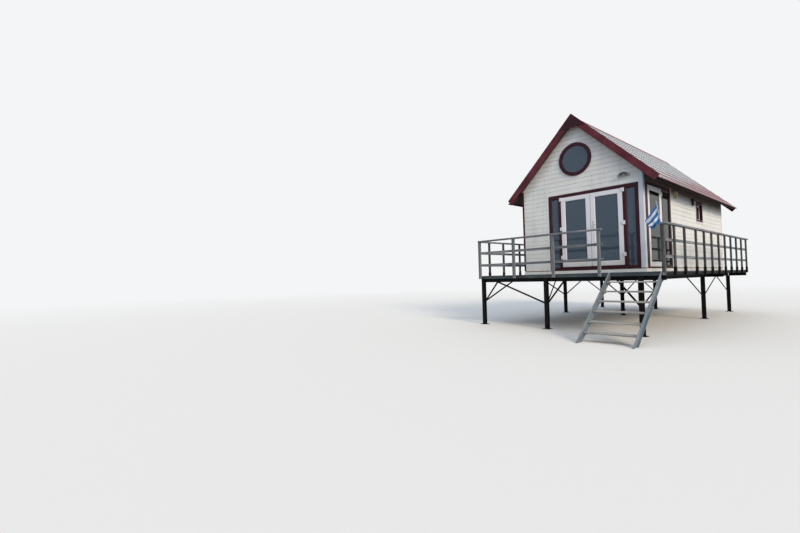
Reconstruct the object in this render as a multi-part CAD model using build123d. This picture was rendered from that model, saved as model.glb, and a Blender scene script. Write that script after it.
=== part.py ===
"""Timber beach hut with a steep tiled roof, standing on a railed platform of steel legs and beams.

Millimetres. The sizes are set out from the hut: X = 0 is the outside of its left wall, Y = 0 is the
face of its front wall and Z = 0 is the ground. Each piece is then moved so that the origin lies on
the ground, below the middle of the whole platform, stair and roof.
"""
from build123d import *
from math import atan2, cos, hypot, radians, sin, tan
import os

# Hut body
HUT_W = 3470
HUT_D = 7890
WALL_T = 110
CORNER_POST_W = 110
CORNER_POST_D = 130

# Levels, counted up from the ground
RISER = 215
RISERS = 7
STEP_UP = 108
DECK_TOP = RISER * RISERS
THRESHOLD = DECK_TOP + STEP_UP

# Roof, measured square to its slope
PITCH = 45
COVER_T = 30
COVER_THIN = 12
COURSE = 350
RAFTER_T = 80
ROOF_BOARD_T = 22
EAVES_OUT = 438
COVER_LAP = 60
EAVES_BOARD_T = 22
EAVES_BOARD_H = 60
VERGE_OUT = 163
BARGE_T = 30
BARGE_H = 180
BARGE_PROUD = 50
REAR_BARGE_PROUD = 0
APEX_PLATE_DROP = 411
RIDGE_CAP_W = 130
RIDGE_CAP_T = 12

# Floor and plinth
FLOOR_SETBACK = 12
PLINTH_T = 22
PLINTH_H = 83
BOARD_JOINT = 2

# Front doors with a tall light each side
FRAME_W = 2480
FRAME_H = 2200
FRAME_PROUD = 10
FRAME_D = 80
JAMB = 90
SIDELIGHT = 205
MULLION = 90
FRAME_SILL = 85
FRAME_HEAD = 85
LIGHT_SILL = 72
LIGHT_HEAD = 112
STOP_T = 17
STOP_LAP = 14

# Side door with one wide light behind it
SIDE_FRAME_Y = 130
SIDE_FRAME_H = 2224
SIDE_JAMB = 140
SIDE_LEAF_W = 1025
SIDE_MULLION = 74
SIDE_LIGHT = 575
SIDE_BACK_JAMB = 105
SIDE_SILL = 20
SIDE_HEAD = 70
SIDE_HEADER_H = 255.44

# Door leaves, their glass, hinges and handles
LEAF_T = 58
LEAF_STILE = 128
LEAF_RAIL = 125
BEAD = 14
GLASS_T = 24
GLASS_EDGE = 12
EDGE_GAP = 6
FREE_GAP = 10
MEETING_GAP = 12
HINGE_H = 94
KNUCKLE_R = 10
KNUCKLE_H = 45
PIN_R = 5
PIN_PLAY = 0.5
PIN_END_PLAY = 2
KNUCKLE_SIDES = 12
PIN_OUT = 11
FLAP_W = 36
FLAP_T = 4
HINGE_HEIGHTS = (230, 1060, 1925)
HANDLE_HEIGHT = 1130
HANDLE_PLATE_W = 34
HANDLE_PLATE_H = 220
HANDLE_PLATE_T = 8
NECK_R = 9
LEVER_OUT = 48
LEVER_L = 120
LEVER_W = 22
LEVER_T = 12

# Round window in the gable
ROUND_R = 470
ROUND_SIGHT_R = 360
ROUND_SLEEVE_R = 385
ROUND_PROUD = 35
ROUND_INSIDE_R = 430
ROUND_INSIDE_T = 14
ROUND_RISE = 3157
ROUND_GLASS_IN = 45

# Small square window in the right wall
WINDOW_Y = 4580
WINDOW_W = 700
WINDOW_H = 620
WINDOW_SILL_RISE = 1500
WINDOW_PROUD = 20
WINDOW_MEMBER = 60
SASH_IN = 55
SASH_T = 40
SASH_MEMBER = 45
SASH_GLASS_T = 20

# Fittings on the walls
GABLE_LIGHT_INSET = 439
GABLE_LIGHT_UP = 188
GABLE_LIGHT_R = 150
GABLE_LIGHT_OUT = 85
VENT_BACK = 385
VENT_RISE = 2015
VENT_W = 125
VENT_H = 190
VENT_OUT = 80
VENT_LID_FALL = 30
VENT_SKIN = 4
LAMP_FORE = 445
LAMP_UP = 21
LAMP_OUT = 42
LAMP_R = 36
LAMP_H = 194
LAMP_ARM_R = 9
LAMP_PLATE_T = 18
TRIM_W = 50
TRIM_T = 8

# Platform
LEFT_WALK = 960
RIGHT_WALK = 752
FRONT_DECK = 1028
DECK_SHORT = 325
DECK_T = 28
FASCIA_H = 95
FASCIA_FLANGE = 30
FASCIA_T = 5
JOIST_W = 45
JOIST_STEP = 600
BEARER_H = 105
BEARER_W = 100
STEEL_WEB = 6
STEEL_FLANGE = 8
LEG_INSET = 80
FRONT_LEG_INSET = 78
MIDDLE_LEG_X = 1250
RIGHT_LEG_OUT = 190
MIDDLE_LEG_Y = 4200
BACK_LEG_INSET = 65
LONG_BRACE_RUN = 1600
SHORT_BRACE_RUN = 500
BRACE_RISE = 620
BRACE_W = 50
BRACE_T = 6
FOOT_PLATE = 200
FOOT_PLATE_T = 12

# Stair
STAIR_CLEAR = 4
STAIR_W = 1100
GOING = 260
STRINGER_H = 150
STRINGER_FLANGE = 40
STRINGER_T = 6
TREAD_D = 230
TREAD_T = 32

# Railings
RAIL_TOP_RISE = 992
CAP_T = 45
CAP_W = 95
POST = 70
BALUSTER_T = 45
RAIL_T = 28
RAIL_H = 70
MID_RAIL_RISE = 605
LOW_RAIL_RISE = 225
FRONT_BAYS = 3
FRONT_POST_INSET = 40
LAST_POST_CLEAR = 240
RAIL_CLEAR = 160
FIRST_BAYS = (580, 770, 960)
BAY = 758

# Flag
POLE_R = 9
POLE_H = 480
POLE_LEAN = 70
FLAG_T = 4
FLAG_HOIST = (20, 410)
FLAG_FAR_CORNERS = ((-215, -105), (-310, 85))
CLOTH_GAP = 0.3

# Derived levels and edges
MIDDLE = HUT_W / 2
SLOPE = tan(radians(PITCH))
SQUARE = 1 / cos(radians(PITCH))
RIDGE_RISE = SIDE_FRAME_H + SIDE_HEADER_H + MIDDLE * SLOPE + (RAFTER_T + COVER_T) * SQUARE
RIDGE_Z = THRESHOLD + RIDGE_RISE
RAFTER_TOP = RIDGE_Z - COVER_T * SQUARE
RAFTER_UNDER = RAFTER_TOP - RAFTER_T * SQUARE
FRAME_X = HUT_W - CORNER_POST_W - FRAME_W
HEAD_Z = THRESHOLD + FRAME_H
SIDE_HEAD_Z = THRESHOLD + SIDE_FRAME_H
SIDE_FRAME_END = SIDE_FRAME_Y + SIDE_JAMB + FREE_GAP + SIDE_LEAF_W + EDGE_GAP + SIDE_MULLION
SIDE_FRAME_END += SIDE_LIGHT + SIDE_BACK_JAMB
DECK_LEFT = -LEFT_WALK
DECK_RIGHT = HUT_W + RIGHT_WALK
DECK_BACK = HUT_D - DECK_SHORT
DECK_UNDER = DECK_TOP - DECK_T
BEARER_TOP = DECK_TOP - FASCIA_H
LEG_TOP = BEARER_TOP - BEARER_H
LEG_X = (DECK_LEFT + LEG_INSET, MIDDLE_LEG_X, HUT_W + RIGHT_LEG_OUT)
LEG_Y = (FRONT_LEG_INSET - FRONT_DECK, MIDDLE_LEG_Y, DECK_BACK - BACK_LEG_INSET)
RAIL_TOP = THRESHOLD + RAIL_TOP_RISE
CAP_UNDER = RAIL_TOP - CAP_T
CAP_LAP = (CAP_W - POST) / 2
FACE_OF_POSTS = -FRONT_DECK - POST
STAIR_X = DECK_RIGHT - POST - STAIR_CLEAR - STRINGER_FLANGE - STAIR_W
FRONT_RAIL_END = STAIR_X - RAIL_CLEAR
STAIR_RUN = GOING * RISERS
STAIR_ANGLE = atan2(RISER, GOING)
STAIR_TOE = -FRONT_DECK - STAIR_RUN

# The part's origin: on the ground below the middle of everything
LEFT_END = DECK_LEFT - BALUSTER_T - (CAP_W - BALUSTER_T - RAIL_T) / 2
RIGHT_END = DECK_RIGHT + BALUSTER_T + (CAP_W - BALUSTER_T - RAIL_T) / 2
FRONT_END = STAIR_TOE
BACK_END = HUT_D + VERGE_OUT
ORIGIN = Vector((LEFT_END + RIGHT_END) / 2, (FRONT_END + BACK_END) / 2, 0)


def save(name, *pieces):
    """Write one node, made of one solid or of several that stand apart."""
    solids = [solid for piece in pieces for solid in piece.solids()]
    shape = solids[0] if len(solids) == 1 else Compound(children=solids)
    export_step(Pos(-ORIGIN.X, -ORIGIN.Y, -ORIGIN.Z) * shape, f"parts/{name}.step")


def block(x0, x1, y0, y1, z0, z1):
    """A plain block between two corners."""
    return Pos((x0 + x1) / 2, (y0 + y1) / 2, (z0 + z1) / 2) * Box(x1 - x0, y1 - y0, z1 - z0)


def across(points, y0, y1):
    """A flat outline of (x, z) points, made solid from y0 back to y1."""
    face = make_face(Polyline(*[(x, y0, z) for x, z in points], close=True))
    return extrude(face, amount=y1 - y0, dir=(0, 1, 0))


def along(points, x0, x1):
    """A flat outline of (y, z) points, made solid from x0 to x1."""
    face = make_face(Polyline(*[(x0, y, z) for y, z in points], close=True))
    return extrude(face, amount=x1 - x0, dir=(1, 0, 0))


def upright(points, z0, z1):
    """A flat outline of (x, y) points, made solid from z0 up to z1."""
    face = make_face(Polyline(*[(x, y, z0) for x, y in points], close=True))
    return extrude(face, amount=z1 - z0, dir=(0, 0, 1))


def slope_z(x, crown):
    """The height at x of a roof plane that has its crown over the middle of the hut."""
    return crown - abs(x - MIDDLE) * SLOPE


def i_outline(u, v, width, height):
    """The outline of a steel I-beam whose box has its middle at u and its foot at v."""
    half, web = width / 2, STEEL_WEB / 2
    low, high = v + STEEL_FLANGE, v + height - STEEL_FLANGE
    right = [(half, v), (half, low), (web, low), (web, high), (half, high), (half, v + height)]
    outline = right + [(-du, dv) for du, dv in reversed(right)]
    return [(u + du, dv) for du, dv in outline]


# Walls

def front_wall_left():
    return block(0, FRAME_X, 0, WALL_T, THRESHOLD, HEAD_Z)


def corner_post():
    edge = HUT_W - CORNER_POST_W
    outline = [(edge, THRESHOLD), (HUT_W, THRESHOLD), (HUT_W, slope_z(HUT_W, RAFTER_UNDER)),
               (edge, slope_z(edge, RAFTER_UNDER))]
    return across(outline, 0, CORNER_POST_D)


def front_gable():
    edge = HUT_W - CORNER_POST_W
    outline = [(0, HEAD_Z), (edge, HEAD_Z), (edge, slope_z(edge, RAFTER_UNDER)),
               (MIDDLE, RAFTER_UNDER), (0, slope_z(0, RAFTER_UNDER))]
    hole = Pos(MIDDLE, WALL_T / 2, THRESHOLD + ROUND_RISE) * Rot(90, 0, 0)
    return across(outline, 0, WALL_T) - hole * Cylinder(ROUND_SLEEVE_R, 2 * WALL_T)


def rear_wall():
    outline = [(0, THRESHOLD), (HUT_W, THRESHOLD), (HUT_W, slope_z(HUT_W, RAFTER_UNDER)),
               (MIDDLE, RAFTER_UNDER), (0, slope_z(0, RAFTER_UNDER))]
    return across(outline, HUT_D - WALL_T, HUT_D)


def side_wall_outline(x, foot):
    """A wall's section, with its head cut to the slope of the roof."""
    inner = x + WALL_T if x < MIDDLE else x - WALL_T
    return [(x, foot), (inner, foot), (inner, slope_z(inner, RAFTER_UNDER)), (x, slope_z(x, RAFTER_UNDER))]


def left_wall():
    return across(side_wall_outline(0, THRESHOLD), WALL_T, HUT_D - WALL_T)


def right_wall():
    wall = across(side_wall_outline(HUT_W, THRESHOLD), SIDE_FRAME_END, HUT_D - WALL_T)
    sill = THRESHOLD + WINDOW_SILL_RISE
    hole = block(HUT_W - 2 * WALL_T, HUT_W + WALL_T, WINDOW_Y, WINDOW_Y + WINDOW_W, sill, sill + WINDOW_H)
    return wall - hole


def right_wall_header():
    return across(side_wall_outline(HUT_W, SIDE_HEAD_Z), CORNER_POST_D, SIDE_FRAME_END)


def corner_trims():
    """Angle strips over the three corners that have no post."""
    pieces = []
    for x, y, sx, sy in ((0, 0, 1, 1), (0, HUT_D, 1, -1), (HUT_W, HUT_D, -1, -1)):
        far_x, far_y = x + sx * TRIM_W, y + sy * TRIM_W
        out_x, out_y = x - sx * TRIM_T, y - sy * TRIM_T
        outline = [(out_x, out_y), (far_x, out_y), (far_x, y), (x, y), (x, far_y), (out_x, far_y)]
        pieces.append(upright(outline, THRESHOLD, slope_z(0, RAFTER_UNDER) - TRIM_T * SLOPE))
    return pieces


# Floor and plinth

def floor():
    return block(FLOOR_SETBACK, HUT_W - FLOOR_SETBACK, FLOOR_SETBACK, HUT_D - FLOOR_SETBACK,
                 DECK_UNDER, THRESHOLD)


def plinth_boards():
    """Four skirting boards round the edge of the floor, a joint's width apart at the corners."""
    out, top, joint = PLINTH_T - FLOOR_SETBACK, DECK_TOP + PLINTH_H, BOARD_JOINT
    front = block(-out, HUT_W + out, -out, FLOOR_SETBACK, DECK_TOP, top)
    back = block(-out, HUT_W + out, HUT_D - FLOOR_SETBACK, HUT_D + out, DECK_TOP, top)
    ends = (FLOOR_SETBACK + joint, HUT_D - FLOOR_SETBACK - joint)
    left = block(-out, FLOOR_SETBACK, *ends, DECK_TOP, top)
    right = block(HUT_W - FLOOR_SETBACK, HUT_W + out, *ends, DECK_TOP, top)
    return [front, back, left, right]


# Roof

def mirrored(x, side):
    """The x on the chosen side of the hut, -1 for the left and 1 for the right."""
    return MIDDLE + side * x


def roof_frame(side):
    """One slope: rafters and boarding over the hut, and the boarding alone out to the eaves."""
    end = MIDDLE + EAVES_OUT - COVER_LAP - EAVES_BOARD_T
    board_under = RAFTER_TOP - ROOF_BOARD_T * SQUARE
    outline = [(0, RAFTER_TOP), (end, RAFTER_TOP - end * SLOPE), (end, board_under - end * SLOPE),
               (MIDDLE, board_under - MIDDLE * SLOPE), (MIDDLE, RAFTER_UNDER - MIDDLE * SLOPE),
               (0, RAFTER_UNDER)]
    outline = [(mirrored(x, side), z) for x, z in outline]
    return across(outline, BARGE_T - VERGE_OUT, HUT_D + VERGE_OUT - BARGE_T)


def roof_cover(side):
    """Tile sheets: each course thickens towards its lower edge and steps down to the next."""
    length = (MIDDLE + EAVES_OUT) * SQUARE
    thick = COVER_T - COVER_THIN
    outline = [(0, 0)]
    courses = round(length / COURSE)
    gauge = length / courses
    for n in range(courses):
        outline += [(n * gauge, COVER_THIN), ((n + 1) * gauge, COVER_THIN + thick)]
    outline.append((length, 0))
    lean = radians(PITCH)
    turned = []
    for run, rise in outline:
        x = max(run * cos(lean) + rise * sin(lean), 0)
        turned.append((x, RAFTER_TOP - run * sin(lean) + rise * cos(lean)))
    turned[1] = (0, RAFTER_TOP + COVER_THIN * SQUARE)
    outline = [(mirrored(x, side), z) for x, z in turned]
    return across(outline, BARGE_T - VERGE_OUT, HUT_D + VERGE_OUT - BARGE_T)


def ridge_cap():
    """A folded strip over the ridge."""
    crown, reach = RIDGE_Z, RIDGE_CAP_W / SQUARE
    thick = RIDGE_CAP_T * SQUARE
    outline = [(MIDDLE - reach, crown - reach * SLOPE), (MIDDLE, crown), (MIDDLE + reach, crown - reach * SLOPE),
               (MIDDLE + reach, crown - reach * SLOPE + thick), (MIDDLE, crown + thick),
               (MIDDLE - reach, crown - reach * SLOPE + thick)]
    return across(outline, BARGE_T - VERGE_OUT, HUT_D + VERGE_OUT - BARGE_T)


def eaves_board(side):
    face = MIDDLE + EAVES_OUT - COVER_LAP
    back = face - EAVES_BOARD_T
    top = RAFTER_TOP - face * SLOPE
    outline = [(back, top - EAVES_BOARD_H), (face, top - EAVES_BOARD_H), (face, top),
               (back, top + EAVES_BOARD_T * SLOPE)]
    outline = [(mirrored(x, side), z) for x, z in outline]
    return across(outline, BARGE_T - VERGE_OUT, HUT_D + VERGE_OUT - BARGE_T)


def bargeboards(y0, proud):
    """Two boards that meet at the apex, with a plate that fills the angle below."""
    crown = RIDGE_Z + proud * SQUARE
    under = crown - BARGE_H * SQUARE
    plate_z = crown - APEX_PLATE_DROP
    plate_x = (under - plate_z) / SLOPE
    tip = MIDDLE + EAVES_OUT
    heel = tip - BARGE_H * sin(radians(PITCH))
    right = [(tip, crown - tip * SLOPE), (heel, under - heel * SLOPE), (plate_x, plate_z)]
    outline = [(MIDDLE, crown)] + [(MIDDLE + x, z) for x, z in right]
    outline += [(MIDDLE - x, z) for x, z in reversed(right)]
    return across(outline, y0, y0 + BARGE_T)


# Doors and windows. Each is drawn flat, looking at its outside: u to the right, w inwards, v up.

def bead_cut(u0, u1, v0, v1, w):
    """The sloped edge round a sheet of glass, widest at the face."""
    middle = ((u0 + u1) / 2, w, (v0 + v1) / 2)
    mouth = Plane(origin=middle, x_dir=(1, 0, 0), z_dir=(0, -1, 0))
    sketch = mouth * Rectangle(u1 - u0 + 2 * BEAD, v1 - v0 + 2 * BEAD)
    return extrude(sketch, amount=-BEAD, taper=45)


def glass_pane(u0, u1, w0, v0, v1, thickness=GLASS_T):
    """A sealed pane whose edges sit in the groove round the opening."""
    return block(u0 - GLASS_EDGE, u1 + GLASS_EDGE, w0, w0 + thickness, v0 - GLASS_EDGE, v1 + GLASS_EDGE)


def glazed_hole(u0, u1, w0, depth, v0, v1, glass_w, thickness=GLASS_T):
    """What is cut from a frame or a leaf for its glass: the hole, its bead and the glass's groove."""
    hole = block(u0, u1, w0 - depth, w0 + 2 * depth, v0, v1)
    return hole + bead_cut(u0, u1, v0, v1, w0) + glass_pane(u0, u1, glass_w, v0, v1, thickness)


def leaf_parts(width, height):
    """A door leaf and its glass, from its hinge edge at u = 0."""
    body = block(0, width, 0, LEAF_T, 0, height)
    sight = (LEAF_STILE, width - LEAF_STILE, LEAF_RAIL, height - LEAF_RAIL)
    glass_w = (LEAF_T - GLASS_T) / 2
    leaf = body - glazed_hole(sight[0], sight[1], 0, LEAF_T, sight[2], sight[3], glass_w)
    return leaf, glass_pane(sight[0], sight[1], glass_w, sight[2], sight[3])


def pin_line(radius, z0, z1):
    """A round rod on the hinge's axis."""
    return Pos(0, -PIN_OUT, (z0 + z1) / 2) * Cylinder(radius, z1 - z0)


def hinge_half(side, on_leaf):
    """One flap and its knuckle. The pin stands on the frame's half, below the leaf's half."""
    z = HINGE_H - KNUCKLE_H if on_leaf else 0
    gap = EDGE_GAP / 2
    ends = sorted((side * gap, side * (gap + FLAP_W)))
    knuckle = Plane(origin=(0, -PIN_OUT, z)) * RegularPolygon(KNUCKLE_R, KNUCKLE_SIDES)
    half = extrude(knuckle, amount=KNUCKLE_H) + block(*ends, -FLAP_T, 0, z, z + KNUCKLE_H)
    pin_top = HINGE_H - KNUCKLE_R
    if on_leaf:
        return half - pin_line(PIN_R + PIN_PLAY, z, pin_top + PIN_END_PLAY)
    return half + pin_line(PIN_R, KNUCKLE_H, pin_top)


def lever_handle(u, side):
    """A lever on its plate, outside and inside the leaf. side is where the lever points."""
    pieces = []
    for face, out in ((0, -1), (LEAF_T, 1)):
        plate_w = sorted((face, face + out * HANDLE_PLATE_T))
        plate = block(u - HANDLE_PLATE_W / 2, u + HANDLE_PLATE_W / 2, *plate_w,
                      HANDLE_HEIGHT - HANDLE_PLATE_H / 2, HANDLE_HEIGHT + HANDLE_PLATE_H / 2)
        neck = Pos(u, face + out * LEVER_OUT / 2, HANDLE_HEIGHT) * Rot(90, 0, 0) * Cylinder(NECK_R, LEVER_OUT)
        inner = face + out * LEVER_OUT
        lever_w = sorted((inner, inner + out * LEVER_T))
        start = u - side * LEVER_W / 2
        ends = sorted((start, start + side * LEVER_L))
        bar = block(*ends, *lever_w, HANDLE_HEIGHT - LEVER_W / 2, HANDLE_HEIGHT + LEVER_W / 2)
        bar = fillet(bar.edges().filter_by(Axis.Y), LEVER_W / 2 - 1)
        pieces.append(plate + neck + bar)
    return pieces


def frame_with(width, height, lights, doorway):
    """A frame cut for its fixed lights and its doorway, with a stop behind the leaves."""
    frame = block(0, width, 0, FRAME_D, 0, height)
    panes = []
    glass_w = (FRAME_D - GLASS_T) / 2
    for u0, u1, v0, v1 in lights:
        frame -= glazed_hole(u0, u1, 0, FRAME_D, v0, v1, glass_w)
        panes.append(glass_pane(u0, u1, glass_w, v0, v1))
    u0, u1, v0, v1 = doorway
    frame -= block(u0, u1, -FRAME_D, FRAME_D - STOP_T, v0, v1)
    frame -= block(u0 + STOP_LAP, u1 - STOP_LAP, -FRAME_D, 2 * FRAME_D, v0, v1 - STOP_LAP)
    return frame, panes


# The front set stands with u along X; the side set is turned so that u runs back along Y.
FRONT_AT = Pos(FRAME_X, -FRAME_PROUD, THRESHOLD)
SIDE_AT = Pos(HUT_W + FRAME_PROUD, SIDE_FRAME_Y, THRESHOLD) * Rot(0, 0, 90)

DOORWAY_U0 = JAMB + SIDELIGHT + MULLION
DOORWAY_U1 = FRAME_W - DOORWAY_U0
FRONT_LEAF_W = (DOORWAY_U1 - DOORWAY_U0 - 2 * EDGE_GAP - MEETING_GAP) / 2
FRONT_LEAF_H = FRAME_H - FRAME_SILL - FRAME_HEAD - 2 * EDGE_GAP
FRONT_LEAF_V = FRAME_SILL + EDGE_GAP
LEFT_PIN_U = DOORWAY_U0 + EDGE_GAP / 2
RIGHT_PIN_U = DOORWAY_U1 - EDGE_GAP / 2

SIDE_DOORWAY_U0 = SIDE_JAMB
SIDE_DOORWAY_U1 = SIDE_JAMB + FREE_GAP + SIDE_LEAF_W + EDGE_GAP
SIDE_LEAF_H = SIDE_FRAME_H - SIDE_SILL - SIDE_HEAD - 2 * EDGE_GAP
SIDE_LEAF_V = SIDE_SILL + EDGE_GAP
SIDE_PIN_U = SIDE_DOORWAY_U1 - EDGE_GAP / 2


def front_door_set():
    light_v = (LIGHT_SILL, FRAME_H - LIGHT_HEAD)
    left = (JAMB, JAMB + SIDELIGHT, *light_v)
    right = (FRAME_W - JAMB - SIDELIGHT, FRAME_W - JAMB, *light_v)
    doorway = (DOORWAY_U0, DOORWAY_U1, FRAME_SILL, FRAME_H - FRAME_HEAD)
    return frame_with(FRAME_W, FRAME_H, (left, right), doorway)


def side_door_set():
    light_u = SIDE_DOORWAY_U1 + SIDE_MULLION
    light = (light_u, light_u + SIDE_LIGHT, LIGHT_SILL, SIDE_FRAME_H - LIGHT_HEAD)
    doorway = (SIDE_DOORWAY_U0, SIDE_DOORWAY_U1, SIDE_SILL, SIDE_FRAME_H - SIDE_HEAD)
    return frame_with(SIDE_FRAME_END - SIDE_FRAME_Y, SIDE_FRAME_H, (light,), doorway)


def hinge_row(pin_u, side, on_leaf, rise):
    """The three hinge halves of one leaf, either those on the leaf or those on the frame."""
    return [Pos(pin_u, 0, rise + v) * hinge_half(side, on_leaf) for v in HINGE_HEIGHTS]


def hung_leaf(name, place, pin_u, side, width, height, rise, handle):
    """One door: leaf, glass, hinge halves and handle. side is 1 where the leaf lies right of its pin."""
    leaf, glass = leaf_parts(width, height)
    gap = EDGE_GAP / 2
    left_edge = pin_u + gap if side > 0 else pin_u - gap - width
    local = place * Pos(left_edge, 0, rise)
    hinges = [place * Pos(pin_u, 0, 0) * piece for piece in hinge_row(0, side, True, rise)]
    save(f"{name}_leaf", local * leaf)
    save(f"{name}_glass", local * glass)
    save(f"{name}_hinges", *hinges)
    if handle:
        stile = LEAF_STILE / 2
        handle_u = width - stile if side > 0 else stile
        save(f"{name}_handle", *[local * piece for piece in lever_handle(handle_u, -side)])


def round_window():
    """A ring turned round the middle of the window, and the disc of glass in its groove."""
    sleeve_end = WALL_T + ROUND_INSIDE_T
    rim = BEAD
    profile = [(ROUND_SIGHT_R, -ROUND_PROUD + rim), (ROUND_SIGHT_R + rim, -ROUND_PROUD),
               (ROUND_R - rim, -ROUND_PROUD), (ROUND_R, -ROUND_PROUD + rim), (ROUND_R, 0),
               (ROUND_SLEEVE_R, 0), (ROUND_SLEEVE_R, WALL_T), (ROUND_INSIDE_R, WALL_T),
               (ROUND_INSIDE_R, sleeve_end), (ROUND_SIGHT_R, sleeve_end)]
    centre_z = THRESHOLD + ROUND_RISE
    face = make_face(Polyline(*[(MIDDLE + r, y, centre_z) for r, y in profile], close=True))
    axis = Axis((MIDDLE, 0, centre_z), (0, 1, 0))
    glass = Pos(MIDDLE, ROUND_GLASS_IN + GLASS_T / 2, centre_z) * Rot(90, 0, 0)
    glass *= Cylinder(ROUND_SIGHT_R + GLASS_EDGE, GLASS_T)
    return revolve(face, axis, 360) - glass, glass


def side_window():
    """The square window's frame through the wall, its set-back sash and its glass."""
    width, height = WINDOW_W, WINDOW_H
    frame = block(0, width, 0, WALL_T + WINDOW_PROUD, 0, height)
    m = WINDOW_MEMBER
    frame -= block(m, width - m, -WALL_T, 2 * WALL_T, m, height - m)
    sash_w = WINDOW_PROUD + SASH_IN
    sash = block(m, width - m, sash_w, sash_w + SASH_T, m, height - m)
    s = m + SASH_MEMBER
    glass_w = sash_w + (SASH_T - SASH_GLASS_T) / 2
    sash -= block(s, width - s, 0, 2 * WALL_T, s, height - s)
    glass = glass_pane(s, width - s, glass_w, s, height - s, SASH_GLASS_T)
    return frame, sash - glass, glass


# Fittings

def gable_light():
    """A half-round lamp with its flat side down."""
    x, low, reach = HUT_W - GABLE_LIGHT_INSET, HEAD_Z + GABLE_LIGHT_UP, 2 * GABLE_LIGHT_R
    disc = Pos(x, -GABLE_LIGHT_OUT / 2, low) * Rot(90, 0, 0) * Cylinder(GABLE_LIGHT_R, GABLE_LIGHT_OUT)
    return disc - block(x - reach, x + reach, -reach, reach, low - reach, low)


def vent_hood():
    """A box over the fan outlet, with a sloped lid and an open underside."""
    y0 = SIDE_FRAME_END + VENT_BACK - VENT_W / 2
    y1 = y0 + VENT_W
    low = THRESHOLD + VENT_RISE
    lip, skin = low + VENT_H - VENT_LID_FALL, VENT_SKIN
    front = HUT_W + VENT_OUT
    outline = [(HUT_W, low), (front, low), (front, lip), (HUT_W, low + VENT_H)]
    inner = [(HUT_W, low - skin), (front - skin, low - skin), (front - skin, lip - skin),
             (HUT_W, low + VENT_H - skin)]
    return across(outline, y0, y1) - across(inner, y0 + skin, y1 - skin)


def side_lamp():
    """A dark can lamp that hangs from a short arm."""
    y = WINDOW_Y - LAMP_FORE
    z = THRESHOLD + WINDOW_SILL_RISE + WINDOW_H + LAMP_UP
    plate = Pos(HUT_W + LAMP_PLATE_T / 2, y, z) * Rot(0, 90, 0) * Cylinder(LAMP_R, LAMP_PLATE_T)
    arm = Pos(HUT_W + LAMP_OUT / 2, y, z) * Rot(0, 90, 0) * Cylinder(LAMP_ARM_R, LAMP_OUT)
    can = Pos(HUT_W + LAMP_OUT, y, z + LAMP_R / 2 - LAMP_H / 2) * Cylinder(LAMP_R, LAMP_H)
    return plate + arm + can


# Platform

def deck_boards():
    """The three stretches of boarding that go round the hut."""
    out = PLINTH_T - FLOOR_SETBACK
    front = block(DECK_LEFT, DECK_RIGHT, -FRONT_DECK, -out, DECK_UNDER, DECK_TOP)
    left = block(DECK_LEFT, -out, -out, DECK_BACK, DECK_UNDER, DECK_TOP)
    right = block(HUT_W + out, DECK_RIGHT, -out, DECK_BACK, DECK_UNDER, DECK_TOP)
    return front, left, right


def channel_outline(face, inward):
    """A channel's section: an upright web at face, and two flanges towards the platform."""
    top, foot, tip = DECK_UNDER, BEARER_TOP, face + inward * FASCIA_FLANGE
    web = face + inward * FASCIA_T
    return [(face, foot), (tip, foot), (tip, foot + FASCIA_T), (web, foot + FASCIA_T),
            (web, top - FASCIA_T), (tip, top - FASCIA_T), (tip, top), (face, top)]


def edge_channels():
    """Folded steel edge round the platform, below the boards. The front one is galvanised."""
    joint = FASCIA_FLANGE + BOARD_JOINT
    front = along(channel_outline(-FRONT_DECK, 1), DECK_LEFT, DECK_RIGHT)
    left = across(channel_outline(DECK_LEFT, 1), -FRONT_DECK + joint, DECK_BACK)
    right = across(channel_outline(DECK_RIGHT, -1), -FRONT_DECK + joint, DECK_BACK)
    return front, left, right


def joists():
    """Timbers across the platform that carry the boards and the floor."""
    wide = (DECK_LEFT + FASCIA_FLANGE, DECK_RIGHT - FASCIA_FLANGE)
    narrow = (FLOOR_SETBACK, HUT_W - FLOOR_SETBACK)
    first, last = -FRONT_DECK + FASCIA_FLANGE + JOIST_W, HUT_D - FLOOR_SETBACK - JOIST_W
    count = round((last - first) / JOIST_STEP)
    pieces = []
    for n in range(count + 1):
        y = first + (last - first) * n / count
        ends = wide if y + JOIST_W < DECK_BACK else narrow
        pieces.append(block(*ends, y - JOIST_W / 2, y + JOIST_W / 2, BEARER_TOP, DECK_UNDER))
    return pieces


def bearers():
    """Steel beams that run front to back over the legs, as far as what they carry."""
    pieces = []
    for x in LEG_X:
        back = HUT_D - FLOOR_SETBACK if 0 < x < HUT_W else DECK_BACK
        outline = i_outline(x, LEG_TOP, BEARER_W, BEARER_H)
        pieces.append(across(outline, -FRONT_DECK + FASCIA_FLANGE, back))
    return pieces


def cross_beams():
    """Steel beams between the bearers at each row of legs, and out to the right edge."""
    half = BEARER_W / 2
    spans = [(a + half, b - half) for a, b in zip(LEG_X, LEG_X[1:])]
    spans.append((LEG_X[-1] + half, DECK_RIGHT - FASCIA_FLANGE))
    return [along(i_outline(y, LEG_TOP, BEARER_W, BEARER_H), *span) for y in LEG_Y for span in spans]


def leg(x, y):
    """A steel H-section on its foot plate."""
    outline = i_outline(0, -BEARER_W / 2, BEARER_W, BEARER_W)
    post = upright([(x + u, y + v) for u, v in outline], FOOT_PLATE_T, LEG_TOP)
    half = FOOT_PLATE / 2
    return post + block(x - half, x + half, y - half, y + half, 0, FOOT_PLATE_T)


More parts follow.
